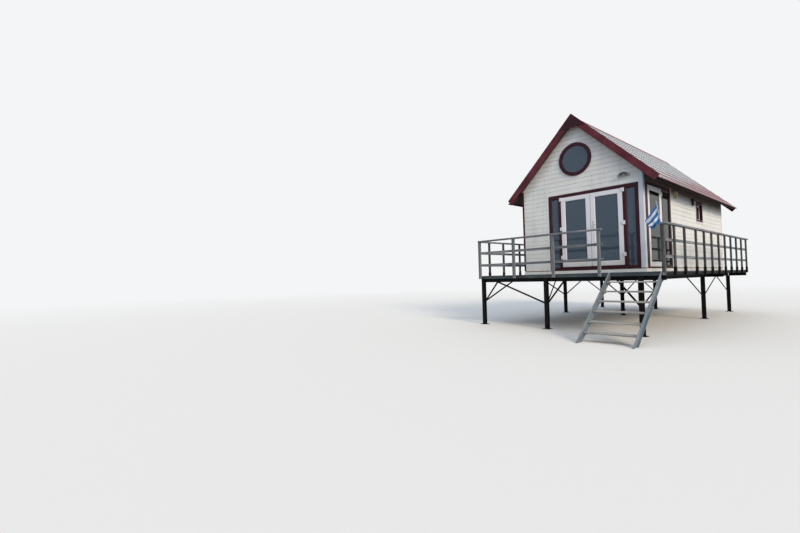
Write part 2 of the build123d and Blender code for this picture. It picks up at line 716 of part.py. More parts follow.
def braces():
    """Flat bars that stiffen the legs, each from a leg up to the beam beside it."""
    pieces = []
    half = BEARER_W / 2
    top = LEG_TOP
    foot = top - BRACE_RISE

    def slanted(start, run, sign):
        lean = atan2(BRACE_RISE, run)
        end = start + sign * run
        back = BRACE_W / sin(lean)
        return [(start, foot), (end, top), (end - sign * back, top), (start, foot + BRACE_W / cos(lean))]

    front = LEG_Y[0]
    in_front = (front - BRACE_T / 2, front + BRACE_T / 2)
    for x, side, run in ((LEG_X[1], -1, LONG_BRACE_RUN), (LEG_X[1], 1, SHORT_BRACE_RUN),
                         (LEG_X[2], -1, SHORT_BRACE_RUN), (LEG_X[0], 1, SHORT_BRACE_RUN)):
        pieces.append(across(slanted(x + side * half, run, side), *in_front))
    for x in LEG_X:
        for y, side in ((LEG_Y[0], 1), (LEG_Y[1], -1), (LEG_Y[1], 1), (LEG_Y[2], -1)):
            run = SHORT_BRACE_RUN if (x, y) == (LEG_X[1], LEG_Y[0]) else LONG_BRACE_RUN
            pieces.append(along(slanted(y + side * half, run, side), x - BRACE_T / 2, x + BRACE_T / 2))
    return pieces


# Stair

def stringer(x, outward):
    """A channel along the slope, cut plumb at the platform and level at the ground."""
    square = STRINGER_H / cos(STAIR_ANGLE)
    pitch = tan(STAIR_ANGLE)
    y0, y1 = STAIR_TOE, -FRONT_DECK
    top = DECK_TOP

    def section(inset):
        low = top - square + inset / cos(STAIR_ANGLE)
        high = top - inset / cos(STAIR_ANGLE)
        toe_low = y1 - low / pitch
        toe_high = y1 - high / pitch
        return [(y1, low), (y1, high), (toe_high, 0), (toe_low, 0)]

    whole = along(section(0), *sorted((x, x + outward * STRINGER_FLANGE)))
    hollow = along(section(STRINGER_T), *sorted((x + outward * STRINGER_T, x + outward * 2 * STRINGER_FLANGE)))
    return whole - hollow


def stair_stringers():
    return [stringer(STAIR_X, -1), stringer(STAIR_X + STAIR_W, 1)]


def stair_treads():
    """Level steps between the stringers, one riser apart."""
    pieces = []
    for n in range(1, RISERS):
        z = DECK_TOP - n * RISER
        back = -FRONT_DECK - (n - 1) * GOING
        pieces.append(block(STAIR_X, STAIR_X + STAIR_W, back - TREAD_D, back, z - TREAD_T, z))
    return pieces


# Railings

def front_railing():
    """Posts on the face of the platform, two rails behind them and a cap over the posts."""
    left, end = DECK_LEFT + FRONT_POST_INSET - POST / 2, FRONT_RAIL_END
    bay = (STAIR_X - LAST_POST_CLEAR - left - POST / 2) / FRONT_BAYS
    posts = []
    for n in range(FRONT_BAYS + 1):
        x = left + n * bay
        posts.append(block(x, x + POST, FACE_OF_POSTS, -FRONT_DECK, BEARER_TOP, CAP_UNDER))
    rails = [block(left, end, FACE_OF_POSTS - CAP_LAP, FACE_OF_POSTS + POST + CAP_LAP, CAP_UNDER, RAIL_TOP)]
    for rise in (MID_RAIL_RISE, LOW_RAIL_RISE):
        z = THRESHOLD + rise
        rails.append(block(left, end, -FRONT_DECK, -FRONT_DECK + RAIL_T, z - RAIL_H / 2, z + RAIL_H / 2))
    return posts, rails


def side_railing(edge, outward):
    """Balusters on the outside of the platform's edge, two rails inside them and a cap over both."""
    out = (CAP_W - BALUSTER_T - RAIL_T) / 2
    cap = sorted((edge + outward * (BALUSTER_T + out), edge - outward * (RAIL_T + out)))
    start = FACE_OF_POSTS + POST + CAP_LAP + BOARD_JOINT
    balusters, rails = [], [block(*cap, start, DECK_BACK, CAP_UNDER, RAIL_TOP)]
    y = FACE_OF_POSTS + POST / 2
    more = int((DECK_BACK - POST / 2 - y - sum(FIRST_BAYS)) / BAY)
    for bay in (*FIRST_BAYS, *[BAY] * more):
        y += bay
        ends = sorted((edge, edge + outward * BALUSTER_T))
        balusters.append(block(*ends, y - POST / 2, y + POST / 2, BEARER_TOP, CAP_UNDER))
    inner = sorted((edge, edge - outward * RAIL_T))
    for rise in (MID_RAIL_RISE, LOW_RAIL_RISE):
        z = THRESHOLD + rise
        rails.append(block(*inner, -FRONT_DECK + RAIL_T, DECK_BACK, z - RAIL_H / 2, z + RAIL_H / 2))
    return balusters, rails


def stair_post():
    """The post at the front right corner, beside the stair, and its own piece of cap."""
    x = DECK_RIGHT - POST
    post = block(x, DECK_RIGHT, FACE_OF_POSTS, -FRONT_DECK, BEARER_TOP, CAP_UNDER)
    cap = block(x - CAP_LAP, RIGHT_END, FACE_OF_POSTS - CAP_LAP, FACE_OF_POSTS + POST + CAP_LAP,
                CAP_UNDER, RAIL_TOP)
    return post, cap


# Flag

def flag_pole():
    """A thin pole that leans a little to the left from the corner post."""
    foot = Vector(DECK_RIGHT - POST, FACE_OF_POSTS + POST / 2, RAIL_TOP)
    head = foot + Vector(-POLE_LEAN, 0, POLE_H)
    plane = Plane(origin=foot, z_dir=head - foot)
    pole = extrude(plane * Circle(POLE_R), amount=(head - foot).length + POLE_R)
    return pole - block(foot.X - POST, foot.X + POST, foot.Y - POST, foot.Y + POST, RAIL_TOP - POST, RAIL_TOP)


def flag():
    """The cloth as a thin flat sheet, hanging to the left of the pole with one edge along it."""
    x, y = DECK_RIGHT - POST, FACE_OF_POSTS + POST / 2
    seat = POLE_R * hypot(1, POLE_LEAN / POLE_H) + CLOTH_GAP
    low, high = FLAG_HOIST
    hoist = [(-POLE_LEAN * rise / POLE_H - seat, rise) for rise in (high, low)]
    outline = [(x + dx, RAIL_TOP + dz) for dx, dz in (*hoist, *FLAG_FAR_CORNERS)]
    return across(outline, y - FLAG_T / 2, y + FLAG_T / 2)


os.makedirs("parts", exist_ok=True)

save("floor", floor())
save("plinth_boards", *plinth_boards())
save("front_wall_left", front_wall_left())
save("front_gable", front_gable())
save("corner_post", corner_post())
save("left_wall", left_wall())
save("right_wall", right_wall())
save("right_wall_header", right_wall_header())
save("rear_wall", rear_wall())
save("corner_trims", *corner_trims())

for side, word in ((-1, "left"), (1, "right")):
    save(f"roof_frame_{word}", roof_frame(side))
    save(f"roof_tiles_{word}", roof_cover(side))
save("eaves_boards", eaves_board(-1), eaves_board(1))
save("ridge_cap", ridge_cap())
save("bargeboards", bargeboards(-VERGE_OUT, BARGE_PROUD),
     bargeboards(HUT_D + VERGE_OUT - BARGE_T, REAR_BARGE_PROUD))

front_frame, front_lights = front_door_set()
save("front_door_frame", FRONT_AT * front_frame)
hung_leaf("front_door_left", FRONT_AT, LEFT_PIN_U, 1, FRONT_LEAF_W, FRONT_LEAF_H, FRONT_LEAF_V, False)
hung_leaf("front_door_right", FRONT_AT, RIGHT_PIN_U, -1, FRONT_LEAF_W, FRONT_LEAF_H, FRONT_LEAF_V, True)

side_frame, side_lights = side_door_set()
save("side_door_frame", SIDE_AT * side_frame)
hung_leaf("side_door", SIDE_AT, SIDE_PIN_U, -1, SIDE_LEAF_W, SIDE_LEAF_H, SIDE_LEAF_V, True)

front_hinges = hinge_row(LEFT_PIN_U, -1, False, FRONT_LEAF_V) + hinge_row(RIGHT_PIN_U, 1, False, FRONT_LEAF_V)
side_hinges = hinge_row(SIDE_PIN_U, 1, False, SIDE_LEAF_V)
save("frame_hinges", *[FRONT_AT * piece for piece in front_hinges], *[SIDE_AT * piece for piece in side_hinges])
save("sidelight_glass", *[FRONT_AT * pane for pane in front_lights], *[SIDE_AT * pane for pane in side_lights])

round_frame, round_glass = round_window()
save("round_window_frame", round_frame)
WINDOW_AT = Pos(HUT_W + WINDOW_PROUD, WINDOW_Y, THRESHOLD + WINDOW_SILL_RISE) * Rot(0, 0, 90)
window_frame, window_sash, window_glass = side_window()
save("side_window_frame", WINDOW_AT * window_frame)
save("side_window_sash", WINDOW_AT * window_sash)
save("window_glass", round_glass, WINDOW_AT * window_glass)

save("gable_light", gable_light())
save("vent_hood", vent_hood())
save("side_lamp", side_lamp())

deck_front, deck_left, deck_right = deck_boards()
save("front_deck", deck_front)
save("side_decks", deck_left, deck_right)
channel_front, channel_left, channel_right = edge_channels()
save("front_edge_channel", channel_front)
save("side_edge_channels", channel_left, channel_right)
save("joists", *joists())
save("bearers", *bearers())
save("cross_beams", *cross_beams())
save("legs", *[leg(x, y) for x in LEG_X for y in LEG_Y])
save("leg_braces", *braces())
save("stair_stringers", *stair_stringers())
save("stair_treads", *stair_treads())
front_posts, front_rails = front_railing()
left_balusters, left_rails = side_railing(DECK_LEFT, -1)
right_balusters, right_rails = side_railing(DECK_RIGHT, 1)
corner, corner_cap = stair_post()
save("front_railing_posts", *front_posts)
save("front_railing_rails", *front_rails)
save("left_railing_posts", *left_balusters)
save("left_railing_rails", *left_rails)
save("right_railing_posts", *right_balusters, corner)
save("right_railing_rails", *right_rails, corner_cap)
save("flag_pole", flag_pole())
save("flag", flag())
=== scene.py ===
# %% [markdown]
# # A timber beach hut on a railed steel platform
#
# The CAD model comes in first and stays where it is: it is the frame that every other piece is fitted
# to. Each cell below then makes one finish or one piece of the hut. All sizes are in metres. X runs to
# the right along the front wall, Y runs back into the hut and Z is up from the ground.

# %% Load the frame
from math import cos, pi, radians, sin, sqrt

import bpy
from mathutils import Matrix, Vector


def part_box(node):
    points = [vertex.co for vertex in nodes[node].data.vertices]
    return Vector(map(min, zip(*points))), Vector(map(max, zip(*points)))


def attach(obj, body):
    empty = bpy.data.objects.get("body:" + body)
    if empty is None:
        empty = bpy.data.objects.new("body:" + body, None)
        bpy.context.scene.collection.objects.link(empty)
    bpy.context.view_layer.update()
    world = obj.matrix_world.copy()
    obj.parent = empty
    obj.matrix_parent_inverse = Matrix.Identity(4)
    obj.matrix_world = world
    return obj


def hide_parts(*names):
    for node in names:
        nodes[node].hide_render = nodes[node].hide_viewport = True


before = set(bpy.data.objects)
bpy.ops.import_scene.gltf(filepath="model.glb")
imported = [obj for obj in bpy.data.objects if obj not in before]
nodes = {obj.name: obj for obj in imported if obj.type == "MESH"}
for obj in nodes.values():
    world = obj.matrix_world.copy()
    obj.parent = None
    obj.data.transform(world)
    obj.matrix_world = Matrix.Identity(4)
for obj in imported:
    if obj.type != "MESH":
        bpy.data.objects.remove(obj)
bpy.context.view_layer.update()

# %% [markdown]
# Colours are written as the hex codes that a paint chart would give. A shader works with linear light,
# so one function turns a code into linear numbers. A second one adds a shader node, because every
# finish below is a handful of nodes: it sets the node's own options, fills or links its sockets and
# gives back the output that the next node takes.

# %% Colours and shader nodes
def linear(code):
    """A hex colour as the linear colour and alpha that a socket takes."""
    parts = [int(code[i:i + 2], 16) / 255 for i in (1, 3, 5)]
    return [v / 12.92 if v <= 0.04045 else ((v + 0.055) / 1.055) ** 2.4 for v in parts] + [1.0]


def add(finish, kind, sockets=None, out=0, **options):
    """Adds one node to a finish. A socket is given a number, a hex colour or an output to link to."""
    made = finish.node_tree.nodes.new("ShaderNode" + kind)
    for name, value in options.items():
        setattr(made, name, value)
    for name, value in (sockets or {}).items():
        if isinstance(value, bpy.types.NodeSocket):
            finish.node_tree.links.new(value, made.inputs[name])
        else:
            made.inputs[name].default_value = linear(value) if isinstance(value, str) else value
    return made.outputs[out] if made.outputs else None


def new_finish(name):
    """An empty material and the Object coordinates that its patterns read."""
    finish = finishes[name] = bpy.data.materials.new(name)
    finish.use_nodes = True
    finish.node_tree.nodes.clear()
    print("finish:", name)
    return finish, add(finish, "TexCoord", out="Object")


finishes = {}
print("cream paint in linear light:", [round(v, 3) for v in linear("#dddad2")])

# %% [markdown]
# ## Painted weatherboards
#
# The walls are sawn softwood boards under a cream wood paint. From a few steps away the eye sees an
# even, matt cream. Nearer, it sees the saw's fine lines running along each board, and rain has left
# faint grey runs. Close under the roof the colour is darkened as painted shade, for the shade that the
# roof throws there: dark brown below the eaves, and a light grey below the gable. The height below the
# roof gives both, because on a 45 degree roof that is the crown's height less the height of the point
# and its distance from the middle. Object coordinates are in metres, so a scale of 1000 / 6 gives saw
# lines 6 mm apart: real ones are 2 mm, which this render couldn't show.

# %% Cream paint on sawn boards, with painted shade under the roof
CROWN_X, CROWN_Z = 0.104, 5.8274
SAW_LINES_MM, SIDE_FROM_MIDDLE = 6, 1.712
paint, place = new_finish("cream_boards")
along_board = add(paint, "VectorMath", {0: place, 1: (4, 4, 1000 / SAW_LINES_MM)}, operation="MULTIPLY")
saw_lines = add(paint, "TexNoise", {"Vector": along_board, "Scale": 1.0, "Detail": 4.0})
down_wall = add(paint, "VectorMath", {0: place, 1: (9, 9, 0.7)}, operation="MULTIPLY")
rain_runs = add(paint, "TexNoise", {"Vector": down_wall, "Scale": 1.0, "Detail": 5.0})
dirt = add(paint, "MapRange", {"Value": rain_runs, "From Min": 0.52, "From Max": 0.78, "To Max": 0.35})
cloud = add(paint, "TexNoise", {"Vector": place, "Scale": 2.2, "Detail": 3.0})
warmth = add(paint, "MapRange", {"Value": cloud, "From Min": 0.35, "From Max": 0.65})
body = add(paint, "Mix", {0: warmth, 6: "#e4e4e0", 7: "#dcdcd7"}, out=2, data_type="RGBA")
washed = add(paint, "Mix", {0: dirt, 6: body, 7: "#bbb8ae"}, out=2, data_type="RGBA")
across = add(paint, "SeparateXYZ", {0: place})
height = across.node.outputs["Z"]
off_middle = add(paint, "Math", {0: across, 1: CROWN_X}, operation="SUBTRACT")
away = add(paint, "Math", {0: off_middle}, operation="ABSOLUTE")
both = add(paint, "Math", {0: away, 1: height}, operation="ADD")
below_roof = add(paint, "Math", {0: CROWN_Z, 1: both}, operation="SUBTRACT")
ragged = add(paint, "Math", {0: rain_runs, 1: 0.15, 2: below_roof}, operation="MULTIPLY_ADD")
# Painted shade: the colour darkens towards #4f3f36 below the eaves, and to a light grey below the gables.
shade_band_near_roof = add(paint, "MapRange", {"Value": ragged, "From Min": 0.54, "From Max": 0.33})
side_wall = add(paint, "Math", {0: away, 1: SIDE_FROM_MIDDLE}, operation="GREATER_THAN")
strength = add(paint, "Math", {0: side_wall, 1: 0.74, 2: 0.20}, operation="MULTIPLY_ADD")
painted_shade_under_roof = add(paint, "Math", {0: shade_band_near_roof, 1: strength}, operation="MULTIPLY")
colour = add(paint, "Mix", {0: painted_shade_under_roof, 6: washed, 7: "#4f3f36"}, out=2, data_type="RGBA")
relief = add(paint, "Bump", {"Height": saw_lines, "Distance": 0.0015, "Strength": 0.5})
shader = add(paint, "BsdfPrincipled", {"Base Color": colour, "Roughness": 0.62, "Normal": relief})
add(paint, "OutputMaterial", {"Surface": shader})

# %% [markdown]
# The corner and cover strips are planed, not sawn, so the same paint lies smooth on them and needs only
# a faint unevenness of tone.

# %% Plain cream paint on planed strips
paint, place = new_finish("pale_paint")
cloud = add(paint, "TexNoise", {"Vector": place, "Scale": 9.0, "Detail": 4.0})
colour = add(paint, "Mix", {0: cloud, 6: "#dddbd4", 7: "#eeece6"}, out=2, data_type="RGBA")
shader = add(paint, "BsdfPrincipled", {"Base Color": colour, "Roughness": 0.5})
add(paint, "OutputMaterial", {"Surface": shader})

# %% [markdown]
# ## Burgundy paint
#
# Door frames, window frames and bargeboards are softwood under a burgundy gloss. The frames keep a
# deep colour, almost black in the shade. The bargeboards take the sun and the salt: their paint has
# gone chalky and a little brown, and it is worn to the wood in a few places near the ends. The eaves
# board and the drip board over the small window get a burgundy darkened almost to black: painted shade
# for the shade under the eaves.

# %% Burgundy gloss, burgundy that has weathered, and burgundy darkened as painted shade
for name, deep, pale, chalk in (("burgundy_paint", "#2c0d18", "#3c1521", 0.42),
                                ("burgundy_weathered", "#511d27", "#66303a", 0.6),
                                ("burgundy_worn", "#4b1c24", "#613436", 0.7),
                                # The last burgundy is painted shade, for the eaves board and the drip board.
                                ("burgundy_painted_shade", "#1f0f11", "#33191b", 0.7)):
    paint, place = new_finish(name)
    cloud = add(paint, "TexNoise", {"Vector": place, "Scale": 3.0, "Detail": 5.0})
    fade = add(paint, "MapRange", {"Value": cloud, "From Min": 0.38, "From Max": 0.66})
    colour = add(paint, "Mix", {0: fade, 6: deep, 7: pale}, out=2, data_type="RGBA")
    fine = add(paint, "TexNoise", {"Vector": place, "Scale": 140.0, "Detail": 3.0})
    relief = add(paint, "Bump", {"Height": fine, "Distance": 0.0006, "Strength": 0.4})
    gloss = add(paint, "MapRange", {"Value": cloud, "To Min": chalk - 0.08, "To Max": chalk + 0.12})
    shader = add(paint, "BsdfPrincipled", {"Base Color": colour, "Roughness": gloss,
                                           "Specular IOR Level": 0.18, "Normal": relief})
    add(paint, "OutputMaterial", {"Surface": shader})

# %% [markdown]
# ## White door plastic
#
# The door leaves are extruded white PVC: smooth, faintly glossy, a little grey with blown sand near the
# foot. The sand fades with height, and a noise keeps its upper edge from being a line.

# %% White PVC
plastic, place = new_finish("white_pvc")
cloud = add(plastic, "TexNoise", {"Vector": place, "Scale": 5.0, "Detail": 4.0})
height = add(plastic, "SeparateXYZ", {0: place}, out=2)
low_down = add(plastic, "MapRange", {"Value": height, "From Min": 2.3, "From Max": 1.6})
sand = add(plastic, "Math", {0: low_down, 1: cloud}, operation="MULTIPLY")
colour = add(plastic, "Mix", {0: sand, 6: "#e0e0e3", 7: "#bcb7ad"}, out=2, data_type="RGBA")
gloss = add(plastic, "MapRange", {"Value": cloud, "To Min": 0.28, "To Max": 0.46})
shader = add(plastic, "BsdfPrincipled", {"Base Color": colour, "Roughness": gloss, "IOR": 1.53})
add(plastic, "OutputMaterial", {"Surface": shader})

# %% [markdown]
# The corner post is planed timber under blue-grey paint. Noise that is stretched along the post gives
# the lightest trace of the grain under the paint.

# %% Blue-grey paint
paint, place = new_finish("grey_paint")
up_post = add(paint, "VectorMath", {0: place, 1: (70, 70, 2)}, operation="MULTIPLY")
grain = add(paint, "TexNoise", {"Vector": up_post, "Scale": 1.0, "Detail": 4.0})
cloud = add(paint, "TexNoise", {"Vector": place, "Scale": 4.0, "Detail": 3.0})
colour = add(paint, "Mix", {0: cloud, 6: "#bec4ca", 7: "#ced3d9"}, out=2, data_type="RGBA")
relief = add(paint, "Bump", {"Height": grain, "Distance": 0.0008, "Strength": 0.5})
shader = add(paint, "BsdfPrincipled", {"Base Color": colour, "Roughness": 0.5, "Normal": relief})
add(paint, "OutputMaterial", {"Surface": shader})

# %% [markdown]
# ## Window glass
#
# Each pane is a sealed unit of sun-control float glass: it lets a quarter of the light through and
# looks blue-grey from outside. The tint is the shader's own colour, because light that crosses a solid
# pane meets it twice, at the front and at the back. The front panes have a coating that mirrors the sky
# a little more than bare glass does, which a higher IOR stands for, and a dry haze of salt on them
# scatters a fifth of the light, which is the part that isn't transmission. The blue tint of their
# reflections is partly the coating and partly painted reflection of a blue sky, since the sky here is
# plain pale. The side panes are plainer and cleaner, with a lower IOR; their dark green colour and
# their green reflections are painted reflection of the dunes, which are left out. A very slow ripple
# bends the reflections a little.

# %% Tinted glass, for the front and for the side
# The reflection tints, and the side panes' dark green, are painted reflection.
for name, tint, painted_reflection_tint, dulled, clear, index in (
        ("pane_glass", "#7b8fa2", "#c9dbeb", 0.09, 0.80, 1.6),
        ("side_pane_glass", "#5b6655", "#8fa088", 0.05, 0.94, 1.3)):
    glass, place = new_finish(name)
    ripple = add(glass, "TexNoise", {"Vector": place, "Scale": 1.6, "Detail": 1.0})
    relief = add(glass, "Bump", {"Height": ripple, "Distance": 0.004, "Strength": 0.3})
    shader = add(glass, "BsdfPrincipled", {"Base Color": tint, "Roughness": dulled, "IOR": index,
                                           "Transmission Weight": clear, "Specular Tint": painted_reflection_tint,
                                           "Normal": relief})
    add(glass, "OutputMaterial", {"Surface": shader})

# %% [markdown]
# Between each pane and its frame lies a gasket of black EPDM rubber, matt and a little grey with dust.

# %% Rubber gaskets
rubber, place = new_finish("gasket_rubber")
cloud = add(rubber, "TexNoise", {"Vector": place, "Scale": 40.0, "Detail": 3.0})
colour = add(rubber, "Mix", {0: cloud, 6: "#1b1c1d", 7: "#313233"}, out=2, data_type="RGBA")
shader = add(rubber, "BsdfPrincipled", {"Base Color": colour, "Roughness": 0.7})
add(rubber, "OutputMaterial", {"Surface": shader})

# %% [markdown]
# ## Tile sheets
#
# The roof is sheet steel pressed into the shape of tiles, once red all over. Sun and sand have taken
# the colour off: it is chalk grey near the ridge and still a pale rose red along the eaves, in a band
# that is narrow at the front and reaches half-way up the slope at the rear. So the height that the red
# reaches comes from the distance to the front, and noise breaks its edge into blotches about a tile
# wide. The hollows just below each step and the step itself are darkened, partly by dirt and algae and
# partly as painted shade for the shadow under each step: an attribute on the sheet says where.

# %% Faded coating on pressed steel
ROOF_FRONT, ROOF_REAR = -2.7, 5.4
RED_UP_TO_FRONT, RED_UP_TO_REAR = 4.15, 5.05
coat, place = new_finish("roof_tile")
axes = add(coat, "SeparateXYZ", {0: place})
back, height = axes.node.outputs["Y"], axes.node.outputs["Z"]
reach = add(coat, "MapRange", {"Value": back, "From Min": ROOF_FRONT, "From Max": ROOF_REAR,
                               "To Min": RED_UP_TO_FRONT, "To Max": RED_UP_TO_REAR})
below = add(coat, "Math", {0: reach, 1: height}, operation="SUBTRACT")
blotch = add(coat, "TexNoise", {"Vector": place, "Scale": 4.5, "Detail": 6.0, "Roughness": 0.65})
swing = add(coat, "MapRange", {"Value": blotch, "From Min": 0.3, "From Max": 0.7,
                               "To Min": -0.35, "To Max": 0.45})
share = add(coat, "Math", {0: below, 1: swing}, operation="ADD", use_clamp=True)
soft = add(coat, "MapRange", {"Value": share, "From Min": 0.0, "From Max": 0.6, "To Max": 0.85})
fine = add(coat, "TexNoise", {"Vector": place, "Scale": 38.0, "Detail": 4.0})
chalk = add(coat, "Mix", {0: fine, 6: "#909396", 7: "#bfc2c5"}, out=2, data_type="RGBA")
rose = add(coat, "Mix", {0: fine, 6: "#754b52", 7: "#a1787f"}, out=2, data_type="RGBA")
clean = add(coat, "Mix", {0: soft, 6: chalk, 7: rose}, out=2, data_type="RGBA")
# The sheet's attribute darkens the steps, the hollows below them and the eaves edge: partly dirt, partly
# painted shade for the shadow under each step.
dirt = add(coat, "Attribute", out="Fac", attribute_name="dirt")
colour = add(coat, "Mix", {0: dirt, 6: clean, 7: "#231e1e"}, out=2, data_type="RGBA")
relief = add(coat, "Bump", {"Height": fine, "Distance": 0.0008, "Strength": 0.5})
shader = add(coat, "BsdfPrincipled", {"Base Color": colour, "Roughness": 0.65, "Specular IOR Level": 0.35,
                                      "Normal": relief})
add(coat, "OutputMaterial", {"Surface": shader})

# %% [markdown]
# The ridge strip has the same coating. It was fitted later, so it is still red, and only worn to pink in
# places.

# %% Ridge strip: the same coating, still red
coat, place = new_finish("ridge_red")
worn = add(coat, "TexNoise", {"Vector": place, "Scale": 6.0, "Detail": 5.0})
share = add(coat, "MapRange", {"Value": worn, "From Min": 0.45, "From Max": 0.75})
colour = add(coat, "Mix", {0: share, 6: "#662a34", 7: "#84505a"}, out=2, data_type="RGBA")
shader = add(coat, "BsdfPrincipled", {"Base Color": colour, "Roughness": 0.55})
add(coat, "OutputMaterial", {"Surface": shader})

# %% [markdown]
# ## Dark roof boarding
#
# The underside of the roof is tongued boarding under a dark brown stain. It shows along the eaves and,
# inside, as the ceiling. The boards run front to back and are 90 mm wide, so a wave with that spacing
# along the slope draws their joints.

# %% Brown stain
CEILING_BOARD, ROOF_PITCH = 0.090, radians(45)
stain, place = new_finish("roof_boarding")
grain_place = add(stain, "VectorMath", {0: place, 1: (45, 2.5, 45)}, operation="MULTIPLY")
grain = add(stain, "TexNoise", {"Vector": grain_place, "Scale": 1.0, "Detail": 5.0})
height = add(stain, "SeparateXYZ", {0: place}, out=2)
count = add(stain, "Math", {0: height, 1: 1 / (CEILING_BOARD * sin(ROOF_PITCH))}, operation="MULTIPLY")
within = add(stain, "Math", {0: count}, operation="FRACT")
joint = add(stain, "Math", {0: within, 1: 0.07}, operation="LESS_THAN")
wood = add(stain, "Mix", {0: grain, 6: "#33221f", 7: "#543b34"}, out=2, data_type="RGBA")
colour = add(stain, "Mix", {0: joint, 6: wood, 7: "#1a1110"}, out=2, data_type="RGBA")
relief = add(stain, "Bump", {"Height": grain, "Distance": 0.001, "Strength": 0.5})
shader = add(stain, "BsdfPrincipled", {"Base Color": colour, "Roughness": 0.6, "Normal": relief})
add(stain, "OutputMaterial", {"Surface": shader})

# %% [markdown]
# ## Weathered softwood
#
# The railings and the decking are bare softwood that the sun has turned silver grey. The soft part of
# each year's growth wears away first, so the surface has fine ridges along the piece, dark in the
# hollows. Every bar here carries an attribute named grain: its own place, with its length along the
# first axis and a jump for each bar, so the figure follows the bar whichever way that runs. The joists
# keep their CAD shape and have no such attribute, so their finish reads Object coordinates along X.

# %% Silver-grey timber
def bare_timber(name, dark, mid, pale, by_attribute=True):
    """Weathered wood in three tones, by the grain attribute or by Object coordinates with X along it."""
    wood, place = new_finish(name)
    own = add(wood, "Attribute", out="Vector", attribute_name="grain") if by_attribute else place
    fibre_place = add(wood, "VectorMath", {0: own, 1: (3.0, 120, 120)}, operation="MULTIPLY")
    fibre = add(wood, "TexNoise", {"Vector": fibre_place, "Scale": 1.0, "Detail": 5.0, "Roughness": 0.6})
    ring_place = add(wood, "VectorMath", {0: own, 1: (1.2, 26, 26)}, operation="MULTIPLY")
    rings = add(wood, "TexNoise", {"Vector": ring_place, "Scale": 1.0, "Detail": 3.0, "Distortion": 0.6})
    streak = add(wood, "MapRange", {"Value": rings, "From Min": 0.36, "From Max": 0.64})
    tone = add(wood, "TexNoise", {"Vector": own, "Scale": 0.31, "Detail": 0.0})
    board = add(wood, "MapRange", {"Value": tone, "From Min": 0.35, "From Max": 0.65})
    base = add(wood, "Mix", {0: board, 6: mid, 7: pale}, out=2, data_type="RGBA")
    lined = add(wood, "Mix", {0: streak, 6: dark, 7: base}, out=2, data_type="RGBA")
    deep = add(wood, "MapRange", {"Value": fibre, "From Min": 0.3, "From Max": 0.6})
    colour = add(wood, "Mix", {0: deep, 6: dark, 7: lined}, out=2, data_type="RGBA")
    relief = add(wood, "Bump", {"Height": fibre, "Distance": 0.002, "Strength": 0.6})
    shader = add(wood, "BsdfPrincipled", {"Base Color": colour, "Roughness": 0.82, "Normal": relief})
    add(wood, "OutputMaterial", {"Surface": shader})


bare_timber("weathered_wood", "#595c5e", "#7e8286", "#979b9e")
# The same wood darkened: painted shade, for the balusters' shaded faces and the deck boards' edges.
bare_timber("weathered_wood_painted_shade", "#2c2e2f", "#494d4f", "#616466")
bare_timber("pale_wood", "#85837e", "#aaa8a2", "#c3c0b9")
bare_timber("floor_wood", "#6d5237", "#9a7a55", "#b08f68")
bare_timber("joist_wood", "#3f3a34", "#5f574c", "#776d60", by_attribute=False)

# %% [markdown]
# ## Steel
#
# The legs, beams and braces are rolled steel under black bitumen paint, with rust where the paint has
# been knocked off. Bitumen is matt, so it hardly mirrors the sky.

# %% Black paint on steel
steel, place = new_finish("black_steel")
cloud = add(steel, "TexNoise", {"Vector": place, "Scale": 7.0, "Detail": 6.0, "Roughness": 0.7})
rust = add(steel, "MapRange", {"Value": cloud, "From Min": 0.6, "From Max": 0.72, "To Max": 0.8})
dust = add(steel, "TexNoise", {"Vector": place, "Scale": 2.5, "Detail": 3.0})
body = add(steel, "Mix", {0: dust, 6: "#050505", 7: "#101011"}, out=2, data_type="RGBA")
colour = add(steel, "Mix", {0: rust, 6: body, 7: "#2e1f18"}, out=2, data_type="RGBA")
relief = add(steel, "Bump", {"Height": cloud, "Distance": 0.002, "Strength": 0.4})
shader = add(steel, "BsdfPrincipled", {"Base Color": colour, "Roughness": 0.7, "Specular IOR Level": 0.15,
                                       "Normal": relief})
add(steel, "OutputMaterial", {"Surface": shader})

# %% [markdown]
# The stair's stringers are hot-dip galvanised: bare zinc that has dulled to blue-grey, with the crystals
# of the zinc, about 20 mm across, just showing. The platform's front edge is the same steel in a darker
# copy: painted shade, because it faces away from the sun. Zinc is a metal, so it keeps the default IOR.

# %% Galvanised steel, and a darker copy as painted shade for the platform's edge
ZINC_CRYSTAL_MM = 20
for name, light_zinc, mid_zinc, dark_zinc in (("galvanised_steel", "#a2abb0", "#868f96", "#75808a"),
                                              # The second zinc is the first one darker, as painted shade.
                                              ("galvanised_painted_shade", "#535c62", "#3f484e", "#333b40")):
    zinc, place = new_finish(name)
    crystals = add(zinc, "TexVoronoi", {"Vector": place, "Scale": 1000 / ZINC_CRYSTAL_MM}, out="Color")
    tint = add(zinc, "SeparateColor", {0: crystals})
    cloud = add(zinc, "TexNoise", {"Vector": place, "Scale": 3.0, "Detail": 5.0})
    stain = add(zinc, "MapRange", {"Value": cloud, "From Min": 0.35, "From Max": 0.7})
    spangle = add(zinc, "Mix", {0: tint, 6: mid_zinc, 7: light_zinc}, out=2, data_type="RGBA")
    colour = add(zinc, "Mix", {0: stain, 6: spangle, 7: dark_zinc}, out=2, data_type="RGBA")
    gloss = add(zinc, "MapRange", {"Value": cloud, "To Min": 0.42, "To Max": 0.62})
    shader = add(zinc, "BsdfPrincipled", {"Base Color": colour, "Metallic": 0.85, "Roughness": gloss})
    add(zinc, "OutputMaterial", {"Surface": shader})

# %% [markdown]
# The door handles are stainless steel, brushed to a satin along their length. The brush lines only
# change the roughness, because they are far too fine to see one by one.

